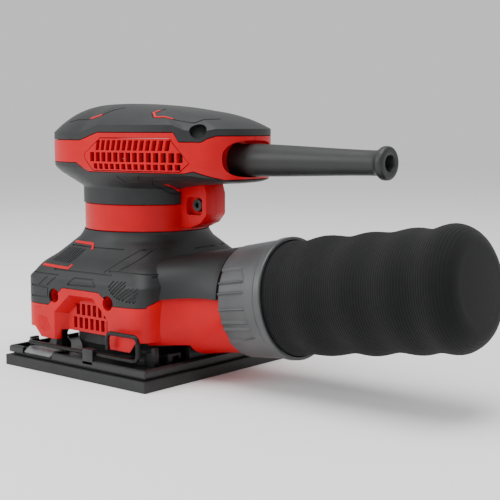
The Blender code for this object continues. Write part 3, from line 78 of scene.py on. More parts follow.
def mottled(tree, shader, light, dark, scale):
    """Base colour that drifts between two close shades; scale is in patches per metre."""
    low, high = 0.35, 0.65
    place = add(tree, "ShaderNodeTexCoord").outputs["Object"]
    noise = add(tree, "ShaderNodeTexNoise", Vector=place, Scale=scale, Detail=4.0)
    ramp = add(tree, "ShaderNodeValToRGB", Fac=noise.outputs["Fac"])
    ramp.color_ramp.elements[0].position = low
    ramp.color_ramp.elements[1].position = high
    ramp.color_ramp.elements[0].color = (*hex_colour(dark), 1)
    ramp.color_ramp.elements[1].color = (*hex_colour(light), 1)
    tree.links.new(ramp.outputs["Color"], shader.inputs["Base Color"])
    return place, noise


def uneven_gloss(tree, shader, source, low, high):
    """Roughness that follows a grey pattern between two values."""
    span = add(tree, "ShaderNodeMapRange", Value=source, To_Min=low, To_Max=high)
    tree.links.new(span.outputs["Result"], shader.inputs["Roughness"])


def raised(tree, shader, source, distance):
    """Surface relief from a grey pattern; distance is the relief's height in metres."""
    bump = add(tree, "ShaderNodeBump", Height=source, Distance=distance, Strength=1.0)
    tree.links.new(bump.outputs["Normal"], shader.inputs["Normal"])


floor_mesh = bpy.data.meshes.new("floor")
floor_mesh.from_pydata([(-3, -3, 0), (3, -3, 0), (3, 3, 0), (-3, 3, 0)], [], [(0, 1, 2, 3)])
floor = bpy.data.objects.new("floor", floor_mesh)
bpy.context.collection.objects.link(floor)
paper, tree, shader = new_material("matt backdrop paper", {"Roughness": 0.9})
mottled(tree, shader, "FCFCFC", "FAFAFA", 3)
floor_mesh.materials.append(paper)

world = bpy.data.worlds.new("studio")
bpy.context.scene.world = world
world.use_nodes = True
world.node_tree.nodes["Background"].inputs["Color"].default_value = (1, 1, 1, 1)
world.node_tree.nodes["Background"].inputs["Strength"].default_value = 0.75


def soft_light(name, place, aim, size, power):
    """A square area light of one side length that faces a point."""
    data = bpy.data.lights.new(name, "AREA")
    data.energy = power
    data.size = size
    lamp = bpy.data.objects.new(name, data)
    bpy.context.collection.objects.link(lamp)
    lamp.location = place
    lamp.rotation_euler = (Vector(aim) - Vector(place)).to_track_quat("-Z", "Y").to_euler()


soft_light("overhead", (0.1, -0.15, 1.1), (0.05, 0, 0.06), 0.9, 13)
soft_light("side", (-0.6, -0.9, 0.6), (0.02, 0, 0.06), 0.5, 6)

camera_data = bpy.data.cameras.new("camera")
camera_data.lens = 79.3
camera_data.sensor_width = 36
camera = bpy.data.objects.new("camera", camera_data)
bpy.context.collection.objects.link(camera)
turn, tip = math.radians(40), math.radians(6.4)  # round the part, and down from level
camera.location = (0.4302, -0.4249, 0.1292)
back = Vector((math.sin(turn) * math.cos(tip), -math.cos(turn) * math.cos(tip), math.sin(tip)))
camera.rotation_euler = (-back).to_track_quat("-Z", "Y").to_euler()
bpy.context.scene.camera = camera


# -------------------- backing pad
# A slab of closed-cell elastomer that the abrasive sheet lies on. It is cut from sheet, so its
# edges are nearly square, and eight suction holes go through it.

ORBIT = 0.8  # how far the pad stands off the motor's axis
PAD_X, PAD_Y = 54, 57  # half length and half width of the pad and the platen
HOLE, HOLE_PITCH = 3, 22  # suction holes: radius and spacing


def grid_faces(rows, columns, join_rows=False):
    """Quads between neighbouring rows of a grid whose columns close into a ring."""
    last = rows if join_rows else rows - 1
    i = np.arange(last)[:, None]
    k = np.arange(columns)[None, :]
    j, m = (i + 1) % rows, (k + 1) % columns
    quads = np.stack([i * columns + k, i * columns + m, j * columns + m, j * columns + k], -1)
    return quads.reshape(-1, 4)


def piece(name, points, faces, finish, crease=35):
    """A mesh object in metres from points in millimetres, its faces turned outwards."""
    mesh = bpy.data.meshes.new(name)
    points = np.asarray(points, float).reshape(-1, 3) * MM
    mesh.from_pydata(points.tolist(), [], [tuple(f) for f in faces])
    work = bmesh.new()
    work.from_mesh(mesh)
    bmesh.ops.remove_doubles(work, verts=work.verts, dist=1e-7)
    bmesh.ops.recalc_face_normals(work, faces=work.faces)
    if work.calc_volume(signed=True) < 0:
        bmesh.ops.reverse_faces(work, faces=work.faces)
    work.to_mesh(mesh)
    work.free()
    mesh.materials.append(finish)
    mesh.shade_smooth()
    mesh.set_sharp_from_angle(angle=math.radians(crease))
    made = bpy.data.objects.new(name, mesh)
    bpy.context.collection.objects.link(made)
    return made


def skinned(name, rings, finish, closed=False, crease=35):
    """A solid from rings of points: walls between neighbours, then flat ends or a joined tube."""
    rings = np.asarray(rings, float)
    rows, columns = rings.shape[:2]
    faces = grid_faces(rows, columns, closed).tolist()
    if not closed:
        faces += [list(range(columns))[::-1], list(range((rows - 1) * columns, rows * columns))]
    return piece(name, rings, faces, finish, crease)


def cut(target, tool, operation="DIFFERENCE", crease=35):
    """Takes one closed solid from another, or joins it on; the tool is used up."""
    modifier = target.modifiers.new("cut", "BOOLEAN")
    modifier.operation = operation
    modifier.solver = "MANIFOLD"
    modifier.object = tool
    graph = bpy.context.evaluated_depsgraph_get()
    mesh = bpy.data.meshes.new_from_object(target.evaluated_get(graph))
    target.modifiers.clear()
    finish = target.data.materials[0]
    target.data = mesh
    mesh.materials.clear()
    mesh.materials.append(finish)
    mesh.shade_smooth()
    mesh.set_sharp_from_angle(angle=math.radians(crease))
    bpy.data.objects.remove(tool)
    return target


def rounded_rectangle(half_x, half_y, corner, steps=8):
    """Outline of a rectangle with round corners: four quarter circles round four centres."""
    angle = np.linspace(0, math.pi / 2, steps)
    arc = np.stack([np.cos(angle), np.sin(angle)], 1) * corner
    turns = ((1, 1, 0), (-1, 1, 1), (-1, -1, 2), (1, -1, 3))
    parts = []
    for sign_x, sign_y, quarter in turns:
        c, s = math.cos(quarter * math.pi / 2), math.sin(quarter * math.pi / 2)
        spun = arc @ np.array([[c, s], [-s, c]])
        parts.append(spun + (sign_x * (half_x - corner), sign_y * (half_y - corner)))
    return np.vstack(parts)


def slab_rings(half_x, half_y, corner, profile, centre=(ORBIT, 0)):
    """Rings of a moulded slab: profile lists (how far in from the outline, height)."""
    rings = []
    for inset, height in profile:
        outline = rounded_rectangle(half_x - inset, half_y - inset, max(corner - inset, 0.15))
        rings.append(np.column_stack([outline + centre, np.full(len(outline), height)]))
    return rings


def full_turn(count):
    """Evenly spaced angles round a full turn."""
    return np.linspace(0, 2 * math.pi, count, endpoint=False)


def round_bar(radius, low, high, centre=(0, 0, 0), along=(0, 0, 1), sides=32):
    """A plain round cutter or boss between two distances along an axis through a point."""
    axis = np.asarray(along, float) / np.linalg.norm(along)
    side = np.cross(axis, (0, 0, 1) if abs(axis[2]) < 0.9 else (1, 0, 0))
    side /= np.linalg.norm(side)
    other = np.cross(axis, side)
    angle = full_turn(sides)[:, None]
    ring = radius * (np.cos(angle) * side + np.sin(angle) * other)
    rings = [ring + np.asarray(centre) + axis * s for s in (low, high)]
    return skinned("bar", rings, paper)


def prism(outline, low, high, along):
    """An outline of two coordinates carried along X, Y or Z between two distances."""
    first, second, carried = {"X": (1, 2, 0), "Y": (0, 2, 1), "Z": (0, 1, 2)}[along]
    rings = []
    for s in (low, high):
        ring = np.zeros((len(outline), 3))
        ring[:, [first, second]] = outline
        ring[:, carried] = s
        rings.append(ring)
    return skinned("prism", rings, paper)


def moulded(name, values, shades, patches, gloss, grain, detail, relief):
    """A mottled finish with uneven gloss and a fine relief: patches and grain per metre, relief in metres."""
    made, tree, shader = new_material(name, values)
    place, noise = mottled(tree, shader, *shades, patches)
    uneven_gloss(tree, shader, noise.outputs["Fac"], *gloss)
    fine = add(tree, "ShaderNodeTexNoise", Vector=place, Scale=grain, Detail=detail)
    raised(tree, shader, fine.outputs["Fac"], relief)
    return made


# Closed-cell elastomer: matt, with fine open pores where it was cut.
elastomer, tree, shader = new_material("closed-cell elastomer", {"Roughness": 0.62})
place, noise = mottled(tree, shader, "1C1E1E", "161717", 160)
pores = add(tree, "ShaderNodeTexNoise", Vector=place, Scale=1800, Detail=3.0)
raised(tree, shader, pores.outputs["Fac"], 0.00012)

pad = skinned("backing_pad_cut", slab_rings(PAD_X, PAD_Y, 0.8, [
    (0.4, 0), (0.08, 0.12), (0, 0.4), (0, 5.2), (0.1, 5.5), (0.5, 5.6)]), elastomer)
holes = [(i * HOLE_PITCH + ORBIT, j * HOLE_PITCH, 0) for i in (-1, 0, 1) for j in (-1, 0, 1) if i or j]
for spot in holes:
    cut(pad, round_bar(HOLE, -1, 7, spot))
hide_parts("backing_pad")
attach(pad, "platen_unit")


# -------------------- platen
# A glass-filled nylon tray with a stepped rim. Hooks on the rim hold the clamp wires down, and
# a cup in the middle holds the eccentric's bearing.

# Glass-filled nylon: black with a faint grey haze of fibres, satin on the ribs.
nylon = moulded("glass-filled nylon", {"Roughness": 0.42, "Specular_IOR_Level": 0.45},
                ("101112", "0B0C0C"), 240, (0.36, 0.52), 2600, 2.0, 0.00005)

# The rim is a greyer satin nylon than the rest: the grey is a painted highlight for the light on its upper
# face.
nylon_painted_highlight = moulded("nylon with painted rim highlight", {"Roughness": 0.4},
                    ("1A1C1C", "141516"), 300, (0.34, 0.5), 2600, 2.0, 0.00005)


def softened(node_name, name, finish, width, body):
    """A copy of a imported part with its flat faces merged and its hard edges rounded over."""
    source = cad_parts[node_name]
    mesh = source.data.copy()
    work = bmesh.new()
    work.from_mesh(mesh)
    bmesh.ops.remove_doubles(work, verts=work.verts, dist=2e-6)
    bmesh.ops.dissolve_limit(work, angle_limit=math.radians(1), verts=work.verts, edges=work.edges)
    work.to_mesh(mesh)
    work.free()
    mesh.name = name
    mesh.materials.clear()
    mesh.materials.append(finish)
    made = bpy.data.objects.new(name, mesh)
    bpy.context.collection.objects.link(made)
    mesh.shade_smooth()
    mesh.set_sharp_from_angle(angle=math.radians(30))
    bevel = made.modifiers.new("worn edges", "BEVEL")
    bevel.width = width * MM
    bevel.segments = 2
    bevel.limit_method = "ANGLE"
    bevel.angle_limit = math.radians(40)
    bevel.harden_normals = False
    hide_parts(node_name)
    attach(made, body)


FLOOR = 8.4  # top of the platen's floor

# The tray takes the greyer nylon, a painted highlight on the rim.
tray = skinned("platen_tray", slab_rings(PAD_X, PAD_Y, 0.6, [
    (3.2, 5.9), (3.2, 6.9), (1.9, 7.0), (1.6, 7.25), (1.6, 9.9),
    (2.3, 10.7), (2.7, 10.8), (3.5, 10.8), (3.8, 10.5)]), nylon_painted_highlight)
inside = skinned("inside", slab_rings(PAD_X, PAD_Y, 0.6, [(3.8, 8.6), (3.8, 12)]), nylon)
cut(tray, inside)
for side in (-1, 1):
    notch = [(-40.2, side * PAD_Y), (-16.2, side * PAD_Y), (-16.2, side * 51.4), (-40.2, side * 51.4)]
    cut(tray, prism(notch, 7.5, 12, "Z"))
for spot in holes:
    cut(tray, round_bar(HOLE, 4, 12, spot))
cut(tray, round_bar(8.5, 4, 12, (ORBIT, 0, 0)))
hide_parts("platen")
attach(tray, "platen_unit")


def block(name, low, high, bevel=0.25):
    """A moulded block between two corners with small rounded edges: rings that step in at both ends."""
    low, high = np.minimum(low, high), np.maximum(low, high)
    centre, half = (low + high) / 2, (high - low) / 2
    steps = [(bevel, low[2]), (0.3 * bevel, low[2] + 0.3 * bevel), (0, low[2] + bevel),
             (0, high[2] - bevel), (0.3 * bevel, high[2] - 0.3 * bevel), (bevel, high[2])]
    rings = []
    for inset, height in steps:
        outline = rounded_rectangle(half[0] - inset, half[1] - inset, max(bevel - inset, 0.03), 4)
        rings.append(np.column_stack([outline + centre[:2], np.full(len(outline), height)]))
    return skinned(name, rings, paper)


def joined(name, parts, finish, body):
    """One object from several touching solids."""
    main = parts[0]
    for other in parts[1:]:
        cut(main, other, "UNION")
    main.name = name
    main.data.materials[0] = finish
    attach(main, body)
    return main


cup = [round_bar(13.9, FLOOR, 18.8, (ORBIT, 0, 0), sides=96)]
for angle in np.radians(np.arange(30, 360, 60)):
    c, s = math.cos(angle), math.sin(angle)
    rib = [(ORBIT + 13 * c - 0.9 * s, 13 * s + 0.9 * c), (ORBIT + 13 * c + 0.9 * s, 13 * s - 0.9 * c),
           (ORBIT + 34 * c + 0.9 * s, 34 * s - 0.9 * c), (ORBIT + 34 * c - 0.9 * s, 34 * s + 0.9 * c)]
    cup.append(prism(rib, FLOOR, 8.85, "Z"))
cup_piece = joined("platen_cup", cup, nylon, "platen_unit")
cut(cup_piece, round_bar(11.3, 11.5, 20, (ORBIT, 0, 0), sides=96))
cut(cup_piece, round_bar(8.5, 4, 20, (ORBIT, 0, 0), sides=48))

rear_parts = [block("rear_wall", (48.2, -20, FLOOR), (50.2, 20, 17.4)),
              block("rear_wall_foot", (45.6, -19, FLOOR), (48.6, 19, 10.2))]
for y in (-18, -9, 0, 9, 18):
    rear_parts.append(block("buttress", (45.9, y - 0.7, FLOOR), (48.6, y + 0.7, 15.6), 0.2))
joined("platen_rear_wall", rear_parts, nylon, "platen_unit")
for side in (-1, 1):
    label = "left" if side < 0 else "right"
    post = [block("post", (44.8, side * 42.6, FLOOR), (47.4, side * 39.4, 19.2)),
            block("post_web", (40.5, side * 41.6, FLOOR), (45.4, side * 40.4, 16.4), 0.2)]
    joined("platen_post_" + label, post, nylon, "platen_unit")
    hook = [block("hook_wall", (46.4, side * 33, FLOOR), (47.9, side * 30, 15)),
            block("hook_arm", (46.4, side * 33, 13.4), (47.9, side * 24, 15)),
            block("hook_tip", (46.4, side * 25.4, 11.4), (47.9, side * 24, 14.6))]
    joined("platen_hook_" + label, hook, nylon, "platen_unit")
    # The wire tabs share the rim's greyer nylon, a painted highlight.
    tab = [block("tab", (8, side * 55.4, FLOOR), (15.6, side * 54.3, 16.4), 0.2),
           block("lip", (8, side * 55.4, 15.3), (15.6, side * 51.7, 16.4), 0.2)]
    joined("wire_tab_" + label, tab, nylon_painted_highlight, "platen_unit")
    boss = [block("boss", (-42.3, side * 48.8, FLOOR), (-40.2, side * 43.8, 15.4))]
    joined("crank_boss_" + label, boss, nylon, "platen_unit")
    ears = [block("ears_rib", (-39.2, side * 46, FLOOR), (-17.2, side * 43.7, 9.3), 0.15),
            block("ears_wall", (-39.2, side * 43.7, FLOOR), (-17.2, side * 42.3, 11.2), 0.15)]
    joined("jaw_seat_" + label, ears, nylon, "platen_unit")


# -------------------- sheet clamps
# Each clamp is a bent wire lever with a loop for the finger and a sprung steel strip that nips
# the end of the abrasive sheet on the rim.

# Black-oxide steel wire: dark, with long bright glints where the oxide is rubbed thin.
oxide = moulded("black oxide wire", {"Metallic": 0.55, "Roughness": 0.3},
                ("1A1B1C", "0E0F0F"), 500, (0.22, 0.42), 1500, 2.0, 0.00003)

# Rolled spring strip: light grey steel with rolling marks along it.
strip_steel, tree, shader = new_material("rolled spring steel", {"Metallic": 0.55, "Roughness": 0.45})
place, noise = mottled(tree, shader, "8A8C8D", "7A7C7D", 400)
stretch = add(tree, "ShaderNodeMapping", Vector=place)
stretch.inputs["Scale"].default_value = (60, 2500, 2500)
marks = add(tree, "ShaderNodeTexNoise", Vector=stretch.outputs["Vector"], Scale=1.0, Detail=2.0)
raised(tree, shader, marks.outputs["Fac"], 0.00003)


def filleted(corners, radius, steps=10):
    """A path through corners with each one replaced by an arc that is tangent to both sides."""
    points = [np.asarray(p, float) for p in corners]
    path = [points[0]]
    for before, corner, after in zip(points, points[1:], points[2:]):
        a, b = before - corner, after - corner
        a, b = a / np.linalg.norm(a), b / np.linalg.norm(b)
        half = math.acos(np.clip(a @ b, -1, 1)) / 2
        middle = a + b
        centre = corner + middle / np.linalg.norm(middle) * radius / math.sin(half)
        start = corner + a * radius / math.tan(half) - centre
        end = corner + b * radius / math.tan(half) - centre
        mix = np.linspace(0, 1, steps)[:, None]
        blend = start * (1 - mix) + end * mix
        path += list(centre + blend / np.linalg.norm(blend, axis=1)[:, None] * radius)
    return np.array(path + [points[-1]])


def tube_rings(path, radius, sides=20):
    """Rings of a round bar along a path: each ring stands square to the path, carried without twist."""
    path = np.asarray(path, float)
    ahead = np.gradient(path, axis=0)
    ahead /= np.linalg.norm(ahead, axis=1)[:, None]
    side = np.array((0.0, 0.0, 1.0)) if abs(ahead[0][2]) < 0.9 else np.array((1.0, 0.0, 0.0))
    angle = full_turn(sides)[:, None]
    rings = []
    for point, way in zip(path, ahead):
        side = side - way * (side @ way)
        side /= np.linalg.norm(side)
        rings.append(point + radius * (np.cos(angle) * side + np.sin(angle) * np.cross(way, side)))
    return np.array(rings)


def domed(rings, radius):
    """The bar's rings with both ends drawn in to a small blunt dome."""
    first, last = rings[0].mean(0), rings[-1].mean(0)
    out_first = first - rings[1].mean(0)
    out_last = last - rings[-2].mean(0)
    out_first /= np.linalg.norm(out_first)
    out_last /= np.linalg.norm(out_last)
    ends = [(0.35, 0.3), (0.75, 0.22), (0.95, 0.1)]
    start = [first + (rings[0] - first) * k + out_first * radius * h for k, h in ends]
    finish = [last + (rings[-1] - last) * k + out_last * radius * h for k, h in reversed(ends)]
    return np.array(start + list(rings) + finish)


WIRE_Y, WIRE_R = 52.8, 1.1  # the wire's plane and radius
WIRE_LOW, WIRE_HIGH = 13.8, 26.2  # heights of the long arm and of the finger loop's top
for side in (-1, 1):
    label = "left" if side < 0 else "right"
    y = side * WIRE_Y
    route = [(-39.5, side * (WIRE_Y - 7), WIRE_LOW), (-39.5, y, WIRE_LOW), (45.2, y, WIRE_LOW),
             (45.2, y, WIRE_HIGH), (23.4, y, WIRE_HIGH), (23.4, y, 17.6)]
    route = np.array(route) + (ORBIT, 0, 0)
    rings = domed(tube_rings(filleted(route, 3.2), WIRE_R), WIRE_R)
    lever = skinned("wire_lever_" + label, rings, oxide, crease=50)
    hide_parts("clamp_lever_" + label)
    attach(lever, "lever_" + label)
    softened("clamp_jaw_" + label, "jaw_strip_" + label, strip_steel, 0.15, "jaw_" + label)


# -------------------- the housing's shape
# One smooth form runs from the square skirt over the sloping shoulder and the round neck to the
# egg-shaped head. The red halves and the soft covers are all slices of it.

# Height, centre, reach to the front and to the rear, half width, and the outline's two powers.
STATIONS = np.array([
    (16.0, 0, 45.8, 45.8, 49.3, 12, 12),
    (48.6, 0, 45.8, 45.8, 49.3, 12, 12),
    (49.6, 0, 45.6, 45.6, 49.1, 11, 11),
    (51.5, 0, 44.6, 44.6, 48.1, 9.5, 9.5),
    (56.0, 0, 42.0, 42.0, 45.3, 8, 8),
    (61.55, 0, 37.6, 37.6, 39.9, 5, 5),
    (67.6, 0, 34.9, 34.9, 36.0, 3, 3),
    (70.6, 0, 34.3, 34.3, 34.8, 2.3, 2.3),
    (74.7, 0, 34.0, 34.0, 34.0, 2, 2),
    (97.0, 0, 34.0, 34.0, 34.0, 2, 2),
    (100.0, -3.0, 35.9, 47.8, 35.9, 2, 2.12),
    (102.3, -5.9, 37.7, 61.0, 37.7, 2, 2.25),
    (105.6, -9.7, 40.1, 78.6, 40.1, 2, 2.4),
    (108.7, -11.8, 41.35, 87.9, 41.35, 2, 2.5),
    (112.0, -12.0, 41.5, 89.0, 41.5, 2, 2.5),
    (133.0, -12.0, 41.5, 89.0, 41.5, 2, 2.5),
])
HEAD_CENTRE = -12.0


def eased(at, marks, values):
    """A curve through marks that never overshoots: cubic pieces with harmonic-mean slopes."""
    gap = np.diff(marks)
    rise = np.diff(values) / gap
    product = rise[:-1] * rise[1:]
    total = np.where(product > 0, rise[:-1] + rise[1:], 1)
    inner = np.where(product > 0, 2 * product / total, 0)
    slope = np.concatenate([[rise[0]], inner, [rise[-1]]])
    k = np.clip(np.searchsorted(marks, at, side="right") - 1, 0, len(gap) - 1)
    t = np.clip((at - marks[k]) / gap[k], 0, 1)
    lean = (1 - t) ** 2 * t * gap[k] * slope[k] - t * t * (1 - t) * gap[k] * slope[k + 1]
    return values[k] * (1 + 2 * t) * (1 - t) ** 2 + values[k + 1] * t * t * (3 - 2 * t) + lean


def body(angle, height, proud=0.0):
    """A point of the form: superellipse radius at an angle round a centre that shifts with height.

    The head's underside sinks towards the rear, and proud moves the point outwards.
    """
    angle, height = np.broadcast_arrays(np.asarray(angle, float), np.asarray(height, float))
    values = (eased(height, STATIONS[:, 0], STATIONS[:, n]) for n in range(1, 7))
    centre, front, rear, half, power_f, power_r = values
    c, s = np.cos(angle), np.sin(angle)
    reach = np.where(c < 0, front, rear) + proud
    power = np.where(c < 0, power_f, power_r)
    radius = (np.abs(c / reach) ** power + np.abs(s / (half + proud)) ** power) ** (-1 / power)
    x = centre + radius * c
    sink = 7 * np.interp(height - 97, (-3, 1, 11.7, 15, 21), (0, 1, 1, 0.6, 0))
    return np.stack([x, radius * s, height - sink * np.clip(x / 77, 0, 1) ** 3], -1)


def even_angles(height, count):
    """Angles that space points evenly along the outline at one height: inverse of its arc length."""
    fine = np.linspace(0, 2 * math.pi, 4001)
    ring = body(fine, height)
    walked = np.concatenate([[0], np.cumsum(np.linalg.norm(np.diff(ring, axis=0), axis=1))])
    return np.interp(np.linspace(0, walked[-1], count, endpoint=False), walked, fine)


def crease_height(x):
    """Height where the palm grip's side strip turns into the dome."""
    return np.interp(x, (-7, 6, 51, 57, 64, 70), (126, 130, 130, 127.5, 126.5, 128))


def dome(angle, share, proud=0.0):
    """A point of the crown: the head's outline drawn in by a share, its height falling as a power of it."""
    angle, share = np.broadcast_arrays(np.asarray(angle, float), np.asarray(share, float))
    edge = body(angle, 125.0, proud)
    x = HEAD_CENTRE + (edge[..., 0] - HEAD_CENTRE) * share
    y = edge[..., 1] * share
    base = crease_height(edge[..., 0])
    top = 141.4 + proud - 2.3 * np.clip(x / 40, 0, 1)
    power = 2.8 + 1.2 * ((1 + np.cos(angle)) / 2) ** 2
    return np.stack([x, y, base + (top - base) * (1 - share**power)], -1)


def shoulder_seam(x, y):
    """Height where the red skirt ends and the soft shoulder begins."""
    side = np.interp(x, (-46, -25.5, -14, 14, 23.5, 46), (34.6, 34.8, 44.9, 44.9, 38.8, 39.6))
    rear = np.interp(np.abs(y), (0, 10, 28, 36, 47), (47, 45.6, 44.5, 43, 39.8))
    return np.where(x > 44.5, rear, side)


def crown_seam(x):
    """Height where the red head band ends and the palm grip begins."""
    return np.interp(x, (-7, 6, 52, 54.5, 63, 70), (122.2, 126.2, 126.2, 121.5, 121.5, 124.5))


def under_seam(x):
    """Height where the neck grip ends and the red head band begins."""
    return np.interp(x, (-10, -2, 57, 61, 66, 72), (110.5, 106, 106, 107, 105, 102.8))


def slice_shell(name, angles, low, high, rows, thick, finish):
    """A closed shell of the form between two seams: an outer skin, and an inner one set in by a thickness."""
    up = np.linspace(0, 1, rows)[:, None]
    down = np.linspace(1, 0, rows // 6)[:, None]
    outer = body(angles, low + (high - low) * up)
    inner = body(angles, low + (high - low) * down, -thick)
    return skinned(name, np.concatenate([outer, inner]), finish, closed=True, crease=30)


WALL, GRIP = 3.0, 1.7  # thickness of the red housing and of the soft covers
GAP = 0.15  # each edge's share of the fine line between two mouldings

# Moulded ABS: saturated red, satin from a spark-eroded mould, with a hint of flow in the colour.
abs_red = moulded("moulded red ABS", {"Roughness": 0.36, "Specular_IOR_Level": 0.22},
                  ("CC0014", "C00012"), 60, (0.3, 0.42), 3200, 2.0, 0.000035)

# Overmoulded TPE: dark grey rubber with a fine leathery stipple and a soft sheen.
tpe = moulded("overmoulded TPE", {"Roughness": 0.5, "Specular_IOR_Level": 0.4},
              ("232526", "1C1E1F"), 90, (0.44, 0.58), 2400, 3.0, 0.00006)


def groove(target, path, radius=0.4):
    """Cuts a round-bottomed line along a path that lies in the surface."""
    return cut(target, skinned("groove", tube_rings(path, radius, 8), paper), crease=30)


def traced(surface, marks, step=1.0):
    """Points on the form every step millimetres along straight lines between (angle, height) marks."""
    marks = np.asarray(marks, float)
    path = []
    for a, b in zip(marks, marks[1:]):
        ends = surface(np.radians([a[0], b[0]]), np.array([a[1], b[1]]))
        count = max(int(np.linalg.norm(ends[1] - ends[0]) / step), 1)
        t = np.linspace(0, 1, count, endpoint=False)
        path.append(surface(np.radians(a[0] + (b[0] - a[0]) * t), a[1] + (b[1] - a[1]) * t))
    path.append(surface(np.radians(marks[-1:, 0]), marks[-1:, 1]))
    return np.vstack(path)


def halved(whole, name_left, name_right):
    """Splits a shell on the plane between the two halves and leaves the parting line open."""
    twin = bpy.data.objects.new(name_right, whole.data.copy())
    bpy.context.collection.objects.link(twin)
    whole.name = name_left
    cut(whole, prism([(-200, -200), (200, -200), (200, -0.08), (-200, -0.08)], -200, 300, "Z"), "INTERSECT")
    cut(twin, prism([(-200, 0.08), (200, 0.08), (200, 200), (-200, 200)], -200, 300, "Z"), "INTERSECT")
    for half, label in ((whole, "left"), (twin, "right")):
        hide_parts("housing_" + label)
        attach(half, "housing")


# -------------------- red skirt
# The lower housing: a square skirt round the fan with a vent recess, screw wells and a foot at
# each end of both long sides, and the dust port that leaves its rear face.

skirt_angles = even_angles(30.0, 620)
rim = body(skirt_angles, 30.0)
edge_x, edge_y = rim[:, 0], rim[:, 1]
on_side = np.abs(edge_y) > 44
foot_line = np.interp(edge_x, (-37, -31.5, -19.6, -19.4, 21.9, 22.1, 36.5, 40),
                      (21.9, 16.8, 16.8, 22.2, 22.2, 16.8, 16.8, 22))
skirt_low = np.where(on_side, foot_line, 22.0)
skirt_top = shoulder_seam(edge_x, edge_y) - GAP
skirt = slice_shell("skirt", skirt_angles, skirt_low, skirt_top, 56, WALL, abs_red)

TILT = math.radians(8.4)  # how far the port and the bag point up towards the rear
AXIS = np.array((math.cos(TILT), 0, math.sin(TILT)))
UP = np.array((-math.sin(TILT), 0, math.cos(TILT)))
PORT_AT = np.array((68.0, 0, 40.0))


def turned(name, profile, finish, sides=128, at=PORT_AT, u=np.array((0, 1.0, 0)), v=UP, w=AXIS, closed=True):
    """A turned piece: (radius, distance) pairs spun round an axis."""
    angle = full_turn(sides)[:, None]
    circle = np.cos(angle) * u + np.sin(angle) * v
    rings = [at + r * circle + s * w for r, s in profile]
    return skinned(name, rings, finish, closed)


def port_form(radius, start, end, finish):
    """The port's tube, which widens sideways in a hollow sweep where it leaves the skirt."""
    s = np.linspace(start, end, 44)[:, None]
    back = np.clip((5 - s) / 38, 0, 1)
    angle = full_turn(160)[None, :]
    power = 2 + 1.6 * back
    unit = (np.abs(np.cos(angle)) ** power + np.abs(np.sin(angle)) ** power) ** (-1 / power)
    wide = (radius + 20 * back**2.1) * unit * np.cos(angle)
    tall = (radius - 1.2 * back) * unit * np.sin(angle)
    rings = PORT_AT + wide[..., None] * np.array((0, 1.0, 0)) + tall[..., None] * UP + s[..., None] * AXIS
    return skinned("port_form", rings, finish)


port = port_form(26.0, -30, 17, abs_red)
cut(port, prism([(0, -40), (56, -40), (56, 19.6), (0, 19.6)], -60, 60, "Y"))
cut(port, skinned("hollow", [body(skirt_angles[::4], z, -WALL) for z in (10.0, 80.0)], abs_red))
cut(skirt, port, "UNION")
bore = turned("bore", [(23.6, -36), (23.6, 22)], abs_red, closed=False)
cut(bore, prism([(0, -40), (58.5, -40), (58.5, 22), (0, 22)], -60, 60, "Y"))
cut(skirt, bore)

plate = skinned("plate", [body(skirt_angles[::4], z, -1.2) for z in (22.4, 24.4)], abs_red)
cut(plate, round_bar(31, 10, 40, sides=96))
cut(skirt, plate, "UNION")

WELLS = (-20.7, 20.7)  # the screw wells' places along the skirt
WELL_Z = 39.8
for side in (-1, 1):
    face = side * 49.3

    def framed(points, depth):
        """Corner points in X and Z set at one depth behind the face."""
        return np.array([(x, face - side * depth, z) for x, z in points])

    mouth = [(-20.6, 10), (20.6, 10), (20.6, 31.6), (9.6, 41.6), (-8.6, 41.6), (-20.6, 31.6)]
    seat = [(-15.4, 10), (15.4, 10), (15.4, 30.4), (5.6, 38.2), (-5.4, 38.2), (-15.4, 30.4)]
    wide = [(x * 1.12, z + (2 if z > 20 else 11.9)) for x, z in mouth]
    wide_seat = [(x * 1.14, z + (2 if z > 20 else 11.9)) for x, z in seat]
    cut(skirt, skinned("tub", [framed(wide, 1.5), framed(wide_seat, 7.6)], abs_red), "UNION")
    cut(skirt, skinned("recess", [framed(mouth, -0.8), framed(mouth, 0.0), framed(seat, 5.6)], abs_red))
    for z_low, z_high, count in ((23.6, 29.4, 7), (30.8, 36.6, 6)):
        for x in 2.6 + 4.2 * (np.arange(count) - (count - 1) / 2):
            slot = [(x - 1.25, z_low), (x + 1.25, z_low), (x + 1.25, z_high), (x - 1.25, z_high)]
            cut(skirt, skinned("slot", [framed(slot, 4.0), framed(slot, 9.0)], abs_red))
    for x in WELLS:
        cut(skirt, round_bar(4.6, side * 9, side * 47.5, (x, 0, WELL_Z), (0, 1, 0)), "UNION")
        cut(skirt, round_bar(3.5, side * 11.7, side * 60, (x, 0, WELL_Z), (0, 1, 0), 48))
    for a, b in (((-43.5, 32.8), (-31.0, 32.8)), ((-40.5, 26.5), (-36.5, 31.0))):
        groove(skirt, framed([a, b], 0), 0.28)
    for n in range(7):
        top, base = (-36.0 + 1.45 * n, 28.6 - 0.2 * abs(n - 3)), (-33.0 + 1.45 * n, 20.0 + 0.4 * abs(n - 3))
        groove(skirt, framed([top, base], 0), 0.28)

halved(skirt, "skirt_left", "skirt_right")


# -------------------- red neck band
# The housing shows as a red band between two grips; the block behind it takes the neck screw in
# a rounded pocket.

